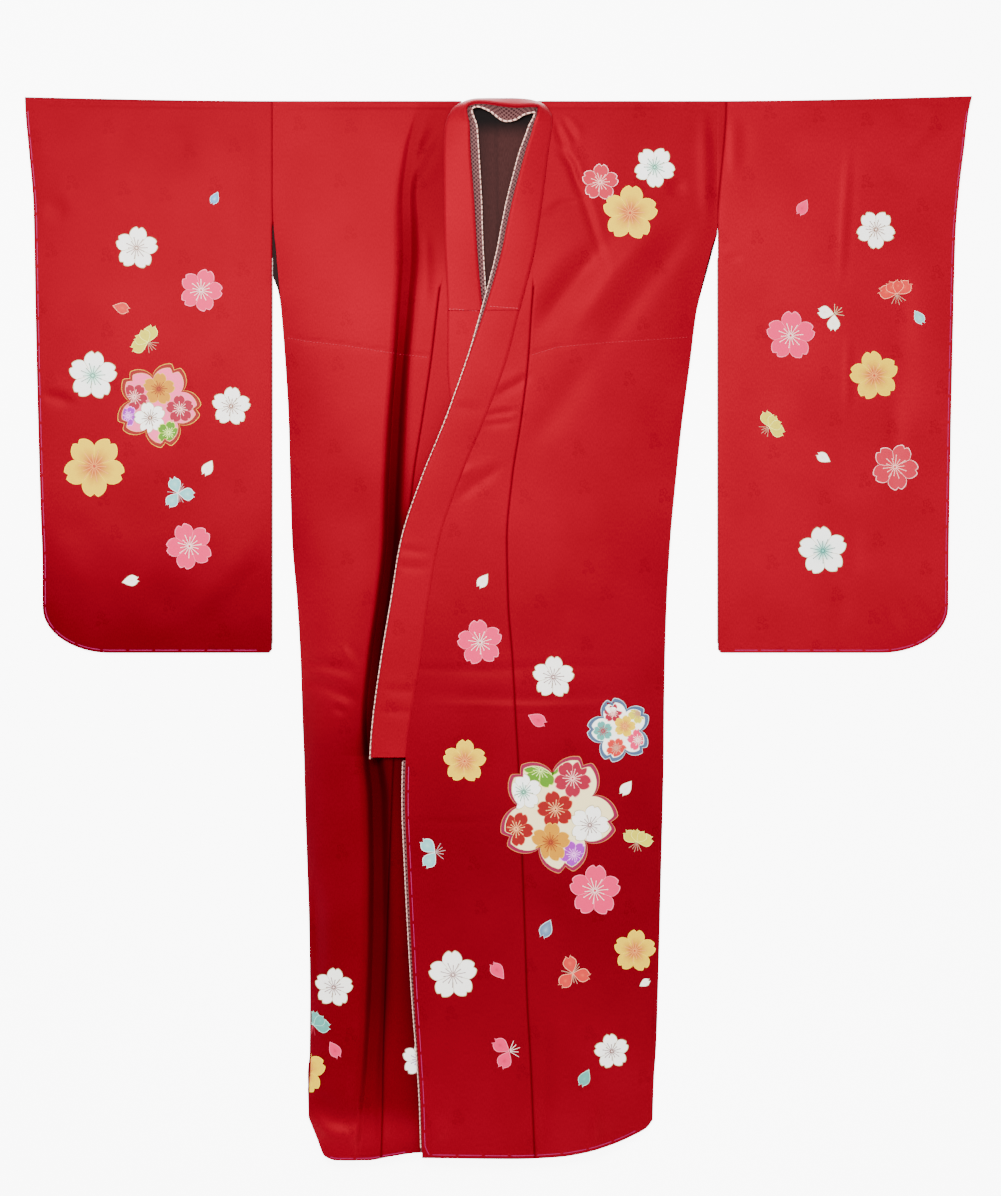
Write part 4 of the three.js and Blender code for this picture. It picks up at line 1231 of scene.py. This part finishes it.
def out_from(centre, angle, reach):
    """A point at a reach from a centre, the angle being clockwise from up."""
    x, y = turned(reach, 0, angle - 90)
    return centre[0] + x, centre[1] + y


def blossom_radius(angle):
    """Radius of a blossom as a share of its greatest, by the angle from the middle of a petal."""
    off = abs((angle + 36) % 72 - 36) / 36
    petal = VALLEY + (1 - VALLEY) * max(1 - off**1.9, 0) ** 0.82
    return petal - NOTCH["depth"] * max(1 - off / NOTCH["width"], 0)


def blossom_outline(centre, size, turn, steps=100):
    """The outline of a blossom, in plan."""
    angles = [360 / steps * i for i in range(steps)]
    return [out_from(centre, turn + a, size / 2 * blossom_radius(a)) for a in angles]


def ray(centre, size, angle, start, end, steps=3):
    """Points of a line out from a centre."""
    return [out_from(centre, angle, s * size / 2) for s in np.linspace(start, end, steps)]


def shaded(style, reach, rings=5):
    """Colours from the heart of a motif to its edge."""
    petal, heart = np.array(STYLES[style][0]), np.array(STYLES[style][1])
    return [tuple(mix(heart, petal, float(ease(s, 0.05, reach)))) for s in np.linspace(0, 1, rings)]


STAMENS = 14
LIFT = 0.2


def blossom(drawing, centre, size, turn, style, lift=LIFT, clip=None):
    """A cherry blossom: shaded petals with a rim, lines between them, and stamens."""
    _, _, reach, rim, stamens = STYLES[style]
    rim_share = min(RIM / (size / 2), 0.1)
    outline = blossom_outline(centre, size, turn)
    drawing.patch(outline, centre, lift, shaded(style, reach), rim_share, rim, clip)
    for k in range(PETALS):
        drawing.line(ray(centre, size, turn + 36 + 72 * k, 0.3, VALLEY), 0.5, lift + 0.1, rim, clip)
    for k in range(STAMENS):
        angle = turn + 360 / STAMENS * k + 5
        tip = 0.46 if k % 2 else 0.34
        drawing.line(ray(centre, size, angle, 0.05, tip), 0.8, lift + 0.15, stamens, clip)
        drawing.line(ray(centre, size, angle, tip, tip + 0.05, 2), 1.15, lift + 0.17, stamens, clip)


def petal_outline(root, long, wide, turn, steps=16):
    """A petal or wing in plan: pointed at its root, widest past its middle, and notched at its tip."""
    shares = np.linspace(0, 1, steps)
    half = wide / 2 * np.sin(math.pi * shares**1.35) ** 0.75
    half[-1] = 0
    side = [(s * long, h) for s, h in zip(shares, half)]
    side = side[:-1] + [(long * 1.02, wide * 0.2)]
    around = side + [(long * 0.85, 0)] + [(a, -b) for a, b in side[::-1][:-1]]
    plan = [turned(a, b, turn - 90) for a, b in around[::-1]]
    return [(root[0] + x, root[1] + y) for x, y in plan]


def petal(drawing, centre, size, turn, style, clip=None):
    """A fallen petal, with its tip in the direction of its turn."""
    _, _, reach, rim, _ = STYLES[style]
    root = out_from(centre, turn + 180, size / 2)
    middle = out_from(centre, turn, size * 0.08)
    outline = petal_outline(root, size, size * 0.64, turn)
    drawing.patch(outline, middle, LIFT, shaded(style, reach, 4), 0.07, rim, clip)


# A butterfly's wings and feelers by how it is posed: angles from its axis, and the wings' lengths.
POSES = {
    "pair": {
        "wings": ((-48, 0.62), (48, 0.62)),
        "feelers": (128, 152, 176, 200, 226),
    },
    "double": {
        "wings": ((-64, 0.6), (64, 0.6), (-22, 0.48), (26, 0.48)),
        "feelers": (140, 160, 180, 200, 222),
    },
    "spread": {
        "wings": ((0, 0.56), (116, 0.56), (-122, 0.56)),
        "feelers": (48, 62, 170, 186, -62),
    },
}


def butterfly(drawing, centre, size, turn, style, pose, clip=None):
    """A small butterfly with its axis in the direction of its turn."""
    _, _, reach, rim, thin = STYLES[style]
    for i, (angle, long) in enumerate(POSES[pose]["wings"]):
        outline = petal_outline(centre, size * long, size * long * 0.76, turn + angle)
        middle = out_from(centre, turn + angle, size * long * 0.58)
        drawing.patch(outline, middle, LIFT + 0.03 * i, shaded(style, reach, 4), 0.07, rim, clip)
    for i, angle in enumerate(POSES[pose]["feelers"]):
        tip = 0.72 - 0.12 * (i % 2)
        drawing.line(ray(centre, size, turn + angle, 0.06, tip), 0.7, LIFT + 0.15, thin, clip)


# Large blossoms filled with small ones: colours of the outer line, the band, the inner line and the
# fill, and the small blossoms by place, as shares of the size, with their own sizes and styles.
MEDALLIONS = {
    "gold": {
        "line": (0.66, 0.36, 0.02),
        "band": (0.2, 0.002, 0.002),
        "inner": (0.7, 0.36, 0.1),
        "fill": (0.82, 0.1, 0.24),
        "within": [
            (0.01, -0.18, 0.38, "orange"),
            (-0.27, -0.09, 0.33, "rose"),
            (0.25, 0.05, 0.34, "rose"),
            (-0.34, 0.13, 0.24, "purple"),
            (-0.09, 0.15, 0.38, "white_gold"),
            (0.12, 0.32, 0.28, "green"),
        ],
    },
    "slate": {
        "line": (0.5, 0.6, 0.64),
        "band": (0.05, 0.085, 0.155),
        "inner": (0.5, 0.6, 0.64),
        "fill": (0.93, 0.9, 0.82),
        "within": [
            (-0.1, -0.26, 0.3, "rose"),
            (0.28, -0.25, 0.32, "lime"),
            (0.28, 0.15, 0.34, "pink"),
            (-0.05, 0.27, 0.33, "salmon"),
            (-0.25, 0.01, 0.32, "teal"),
            (0.08, -0.06, 0.34, "yellow"),
        ],
    },
    "crimson": {
        "line": (0.5, 0.17, 0.04),
        "band": (0.19, 0.0, 0.034),
        "inner": (0.6, 0.44, 0.14),
        "fill": (0.84, 0.7, 0.36),
        "within": [
            (-0.14, -0.35, 0.32, "green"),
            (0.12, -0.28, 0.32, "rose"),
            (-0.28, -0.17, 0.31, "white_green"),
            (-0.34, 0.13, 0.29, "scarlet"),
            (-0.02, -0.03, 0.31, "scarlet"),
            (0.26, 0.1, 0.34, "white_rose"),
            (0.13, 0.34, 0.24, "purple"),
            (-0.06, 0.24, 0.33, "orange"),
        ],
    },
}
BAND = {"line": 0.8, "band": 5.0, "inner": 1.2}


def medallion(drawing, centre, size, turn, style, clip=None):
    """A large blossom shape with a lined band round it, filled with small blossoms cut off at its edge."""
    colours = MEDALLIONS[style]
    band = size - 2 * BAND["line"]
    inner = size - 2 * (BAND["line"] + BAND["band"])
    shapes = ((size, "line"), (band, "band"), (inner, "inner"), (inner - BAND["inner"], "fill"))
    for i, (across, part) in enumerate(shapes):
        fill = [colours[part]] * 4
        drawing.patch(blossom_outline(centre, across, turn, 200), centre, LIFT + 0.06 * i, fill, clip=clip)

    def inside(point):
        x, y = turned(point[0] - centre[0], point[1] - centre[1], 90 - turn)
        most = (inner / 2 - BAND["inner"]) * blossom_radius(math.degrees(math.atan2(y, x)))
        pull = min(1.0, most / max(math.hypot(x, y), 1e-6))
        return centre[0] + (point[0] - centre[0]) * pull, centre[1] + (point[1] - centre[1]) * pull

    for i, (x, y, part, small) in enumerate(colours["within"]):
        place = (centre[0] + x * size, centre[1] + y * size)
        blossom(drawing, place, part * size, 5 + 31 * i, small, LIFT + 0.24 + 0.05 * i, inside)


KINDS = {"blossom": blossom, "petal": petal, "medallion": medallion}
KINDS.update({pose: partial(butterfly, pose=pose) for pose in POSES})

# Where each motif lies, by panel: kind or pose, across, down, size, turn clockwise from up, and style.
MOTIFS = {
    "sleeve_right": [
        ("petal", -369, 127, 18, 205, "blue"),
        ("blossom", -471, 192, 57, 7, "white_gold"),
        ("blossom", -387, 247, 57, 20, "pink"),
        ("petal", -491, 270, 23, 105, "salmon"),
        ("double", -456, 315, 39, 312, "lime"),
        ("blossom", -528, 358, 65, 5, "white_green"),
        ("medallion", -443, 396, 114, 25, "gold"),
        ("blossom", -348, 398, 52, 5, "white_gold"),
        ("blossom", -526, 476, 81, 36, "yellow"),
        ("petal", -378, 478, 23, 210, "white"),
        ("spread", -417, 511, 39, 340, "sky"),
        ("blossom", -402, 580, 62, 50, "pink"),
        ("petal", -479, 625, 23, 80, "white"),
    ],
    "left_front": [
        ("blossom", 132, 107, 49, 5, "coral"),
        ("blossom", 203, 87, 55, 33, "white_green"),
        ("blossom", 171, 147, 73, 5, "yellow"),
        ("petal", -20, 625, 22, 215, "white"),
        ("blossom", -24, 705, 60, 352, "pink"),
        ("blossom", 71, 750, 56, 3, "white_rose"),
        ("petal", 50, 805, 26, 117, "pink"),
        ("medallion", 157, 819, 86, 344, "slate"),
        ("blossom", -44, 859, 57, 2, "yellow"),
        ("medallion", 77, 926, 159, 28, "crimson"),
        ("petal", 166, 894, 23, 217, "white"),
        ("pair", -82, 977, 38, 263, "sky"),
        ("double", 180, 965, 36, 15, "lime"),
        ("blossom", 125, 1027, 68, 3, "pink"),
        ("petal", 62, 1076, 26, 205, "slate"),
        ("blossom", 177, 1106, 56, 6, "yellow"),
        ("blossom", -59, 1136, 65, 357, "white_rose"),
        ("petal", -1, 1131, 26, 322, "pink"),
        ("spread", 96, 1134, 42, 345, "salmon"),
        ("petal", 190, 1148, 16, 60, "white"),
        ("pair", 14, 1235, 40, 255, "pink"),
        ("blossom", 147, 1236, 47, 352, "white_rose"),
        ("petal", 112, 1270, 24, 207, "teal"),
    ],
    "sleeve_left": [
        ("petal", 396, 139, 23, 210, "pink"),
        ("blossom", 491, 168, 52, 36, "white_gold"),
        ("double", 518, 252, 40, 345, "salmon"),
        ("petal", 547, 282, 21, 147, "sky"),
        ("pair", 437, 278, 36, 233, "white"),
        ("blossom", 380, 306, 65, 3, "pink"),
        ("blossom", 489, 358, 65, 350, "yellow"),
        ("double", 352, 425, 36, 50, "lime"),
        ("petal", 423, 465, 21, 300, "white"),
        ("blossom", 516, 477, 62, 27, "coral"),
        ("blossom", 422, 586, 65, 354, "white_teal"),
    ],
    "right_front": [
        ("blossom", -214, 1153, 52, 6, "white_rose"),
        ("double", -241, 1203, 38, 30, "teal"),
        ("petal", -213, 1234, 24, 150, "pink"),
        ("blossom", -256, 1262, 64, 0, "yellow"),
        ("blossom", -103, 1247, 46, 10, "lilac"),
    ],
}

# Basting threads: long stitches inside the edges, and the fine ones of the tuck and the over-collar.
BASTING = {"long": 30.0, "gap": 4.0, "wide": 0.8, "lift": 0.35}
BASTING_INSIDE = {"front": 4.5, "sleeve": 3.6}
BASTING_COLOUR = (0.28, 0.003, 0.08)
FINE_STITCH = {"long": 2.0, "gap": 2.2, "wide": 0.5, "lift": 0.2}
FINE_COLOUR = (0.3, 0.004, 0.02)
OVER_COLLAR_STITCH = (0.42, 0.04, 0.06)
OVER_COLLAR_ENDS = (((-66, 272), (-25, 275)), ((-13, 269), (26, 272)))
TUCK_STITCHES = {"right": (-276, -93), "left": (42, 247)}


def stitches(drawing, path, kind, colour):
    """Stitches along a path in plan."""
    path = np.array(path, float)
    length = along_line(path)
    start = kind["gap"]
    while start + kind["long"] < length[-1]:
        steps = max(int(kind["long"] / 4), 2)
        at = np.linspace(start, start + kind["long"], steps + 1)
        part = np.column_stack([np.interp(at, length, path[:, 0]), np.interp(at, length, path[:, 1])])
        drawing.line(part, kind["wide"], kind["lift"], colour)
        start += kind["long"] + kind["gap"]


def tuck_stitches(drawing, side):
    """Fine stitches just below the tuck seam."""
    across = np.linspace(*TUCK_STITCHES[side], 60)
    stitches(drawing, np.column_stack([across, tuck_line(across) + 1.0]), FINE_STITCH, FINE_COLOUR)


def hem_path(side, start, end, count, inside):
    """A line above a hem."""
    return [(x, float(hem_down(side, x)) - inside) for x in np.linspace(start, end, count)]


def front_edge_path():
    """Inside the left front's free edge, round its corner and along the hem to the side seam."""
    downs = np.arange(COLLAR_END + 8, HEM_DOWN - 12, 8)
    inside = BASTING_INSIDE["front"]
    edge = [(front("left_collar", d) + inside, d) for d in downs]
    return edge + hem_path("left", front("left_collar", HEM_DOWN) + 9, 192, 50, inside)


def right_hem_path():
    """Above the right front's hem, as far as the left front covers it."""
    return hem_path("right", -222, -106, 30, 3.0)


EDGE_PATHS = {"right": right_hem_path, "left": front_edge_path}


def sleeve_edge_path(side):
    """Inside a sleeve's outer edge, round its corner and along its bottom."""
    cut, sign, inside = SLEEVES[side], SIGN[side], BASTING_INSIDE["sleeve"]

    def edge(down):
        return float(between(cut["outer"], "down", "across", down)) - sign * inside

    path = [(edge(d), d) for d in np.arange(10, SLEEVE_BOTTOM - SLEEVE_CORNER["up"] - 2, 8)]
    for angle in np.radians(np.linspace(0, 90, 14)):
        x = edge(SLEEVE_BOTTOM) - sign * (SLEEVE_CORNER["across"] - inside) * (1 - math.cos(angle))
        d = SLEEVE_BOTTOM - inside - (SLEEVE_CORNER["up"] - inside) * (1 - math.sin(angle))
        path.append((x, d))
    end = cut["inner"] + sign * 8
    return path + [(x, SLEEVE_BOTTOM - inside) for x in np.linspace(path[-1][0] - sign * 8, end, 20)]


CORD_SIDES = 6
DARK_FROM = 0.68


def cord(name, line, radii, colours, twist):
    """A fine twisted cord along a line of points, with one radius or one at each, in two colours."""
    length = along_line(line)
    at = np.arange(0, length[-1], twist / 6)
    middle = np.column_stack([np.interp(at, length, line[:, k]) for k in range(3)])
    radius = np.interp(at, length, np.broadcast_to(radii, len(line)))[:, None, None]
    heading = unit(np.gradient(middle, axis=0))
    aside = unit(np.cross(heading, (0, 0, 1.0)))
    over = np.cross(aside, heading)
    angles = 2 * math.pi * np.arange(CORD_SIDES) / CORD_SIDES
    ring = aside[:, None] * np.cos(angles)[None, :, None] + over[:, None] * np.sin(angles)[None, :, None]
    points = middle[:, None] + radius * ring
    phase = (at[:, None] / twist + angles[None, :] / (4 * math.pi)) % 1
    shades = np.where((phase < DARK_FROM)[..., None], np.array(colours[0]), np.array(colours[1]))
    index = np.arange(len(at) * CORD_SIDES).reshape(len(at), CORD_SIDES)
    after = np.roll(index, -1, axis=1)
    around = np.stack([index[:-1], after[:-1], after[1:], index[1:]], axis=-1).reshape(-1, 4).tolist()
    ends = [index[0, ::-1].tolist(), index[-1].tolist()]
    made = mesh_object(name, points.reshape(-1, 3), around + ends, [0] * (len(around) + 2), [PAINT])
    paint(made, "paint", shades.reshape(-1, 3))
    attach(made, "root")
    return made


CORD_COLOURS = ((0.85, 0.5, 0.4), (0.09, 0.012, 0.016))
SLEEVE_CORD_COLOURS = ((0.42, 0.32, 0.3), (0.09, 0.02, 0.022))


def neck_cord():
    """The corded edge of the collar's lining, thicker behind the neck."""
    places = collar_places(0, STATIONS - 1, 10)
    line = smooth_line(EDGE_LINE, places)
    behind = 1 - np.clip(np.abs(places - (STATIONS - 1) / 2) / 8, 0, 1)
    cord("corded_edge", line, 0.8 + 0.6 * behind, CORD_COLOURS, 6.6)


def front_cord():
    """The corded edge of the lining down the left front."""
    downs = np.linspace(COLLAR_END + 6, EDGE_LINING["end"] - 4, 90)
    across = lining_edge(downs) + 0.4
    line = laid(across, downs, left_level(across, downs) - 0.9)
    cord("front_edge_cord", line, 0.6, CORD_COLOURS, 6.0)


def sleeve_cord(side):
    """The corded edge of a sleeve's open inner side."""
    downs = np.linspace(205, SLEEVE_BOTTOM - 12, 60)
    across = np.full_like(downs, SLEEVES[side]["inner"] - SIGN[side] * 0.5)
    level = np.full_like(downs, (BACK_LEVEL + FRONT_LEVEL) / 2 + 1.6)
    cord("sleeve_edge_" + side, laid(across, downs, level), 0.7, SLEEVE_CORD_COLOURS, 6.0)


# The garment
bodies = {side: body_length(side) for side in SIDES}
overlaps = {side: overlap(side) for side in SIDES}
sleeves = {side: sleeve(side) for side in SIDES}
collars = [collar(), over_collar()]
collar_lining()
back_lining()
edge_lining()

drawings = {}
for side in SIDES:
    drawings[side + "_front"] = Drawing(f"motifs_{side}_front", [bodies[side], overlaps[side]])
for side in SIDES:
    drawings["sleeve_" + side] = Drawing("motifs_sleeve_" + side, [sleeves[side]])
drawings["collar"] = Drawing("stitches_collar", collars)


def inside_side(side):
    """A clip that keeps a motif inside a side seam."""
    nearer = min if side == "left" else max

    def clip(point):
        return nearer(point[0], float(front(side + "_side", point[1])) - SIGN[side] * 2), point[1]

    return clip


CLIPS = {side + "_front": inside_side(side) for side in SIDES}
for panel, rows in MOTIFS.items():
    for kind, across, down, size, turn, style in rows:
        KINDS[kind](drawings[panel], (across, down), size, turn, style, clip=CLIPS.get(panel))

for side in SIDES:
    tuck_stitches(drawings[side + "_front"], side)
    stitches(drawings[side + "_front"], EDGE_PATHS[side](), BASTING, BASTING_COLOUR)
    stitches(drawings["sleeve_" + side], sleeve_edge_path(side), BASTING, BASTING_COLOUR)
for start, end in OVER_COLLAR_ENDS:
    stitches(drawings["collar"], [start, end], FINE_STITCH, OVER_COLLAR_STITCH)
for drawing in drawings.values():
    drawing.finish()

neck_cord()
front_cord()
for side in SIDES:
    sleeve_cord(side)

# Stage. Each light's place, target, size and power.
LIGHTS = {
    "key": ((-0.4, 0.9, 1.9), (0, 0.1, 0), 1.0, 95),
    "fill": ((0.9, -0.2, 2.4), (0, 0, 0), 2.4, 25),
    "low": ((0.4, -1.5, 1.6), (0, -0.5, 0), 1.0, 20),
}
FLOOR = {"reach": 40, "level": -0.0003, "tone": (0.85, 0.85, 0.85), "glow": 7.0}
WORLD_LIGHT = 0.9
CAMERA = {"lens": 100, "sensor": 36, "across": 0.0026, "along": 0.0383, "frame_height": 1.5548}


def area_light(name, place, target, size, power):
    """A soft round light that faces its target."""
    data = bpy.data.lights.new(name, "AREA")
    data.shape = "DISK"
    data.size = size
    data.energy = power
    made = placed(name, data, place)
    made.rotation_mode = "QUATERNION"
    made.rotation_quaternion = (Vector(target) - Vector(place)).to_track_quat("-Z", "Y")


def floor():
    """A pale floor that glows a little, so that it stays white."""
    reach = FLOOR["reach"]
    mesh = bpy.data.meshes.new("floor")
    corners = [(-reach, -reach, 0), (reach, -reach, 0), (reach, reach, 0), (-reach, reach, 0)]
    mesh.from_pydata(corners, [], [(0, 1, 2, 3)])
    pale = Nodes("pale floor", roughness=0.9, specular=0.1)
    pale.put(pale.sockets["Emission Color"], (1, 1, 1))
    pale.put(pale.sockets["Emission Strength"], FLOOR["glow"])
    mesh.materials.append(pale.coloured(FLOOR["tone"]))
    placed("floor", mesh, (0, 0, FLOOR["level"]))


def surroundings():
    """Even white light from all round."""
    world = bpy.data.worlds.new("studio")
    world.use_nodes = True
    world.node_tree.nodes["Background"].inputs["Color"].default_value = (1, 1, 1, 1)
    world.node_tree.nodes["Background"].inputs["Strength"].default_value = WORLD_LIGHT
    bpy.context.scene.world = world


def camera():
    """Looks straight down at the whole garment through a long lens."""
    data = bpy.data.cameras.new("camera")
    data.lens = CAMERA["lens"]
    data.sensor_width = CAMERA["sensor"]
    data.clip_start, data.clip_end = 0.1, 20
    height = CAMERA["frame_height"] * data.lens / data.sensor_width + 0.01
    bpy.context.scene.camera = placed("camera", data, (CAMERA["across"], CAMERA["along"], height))


floor()
for name, values in LIGHTS.items():
    area_light(name, *values)
surroundings()
camera()
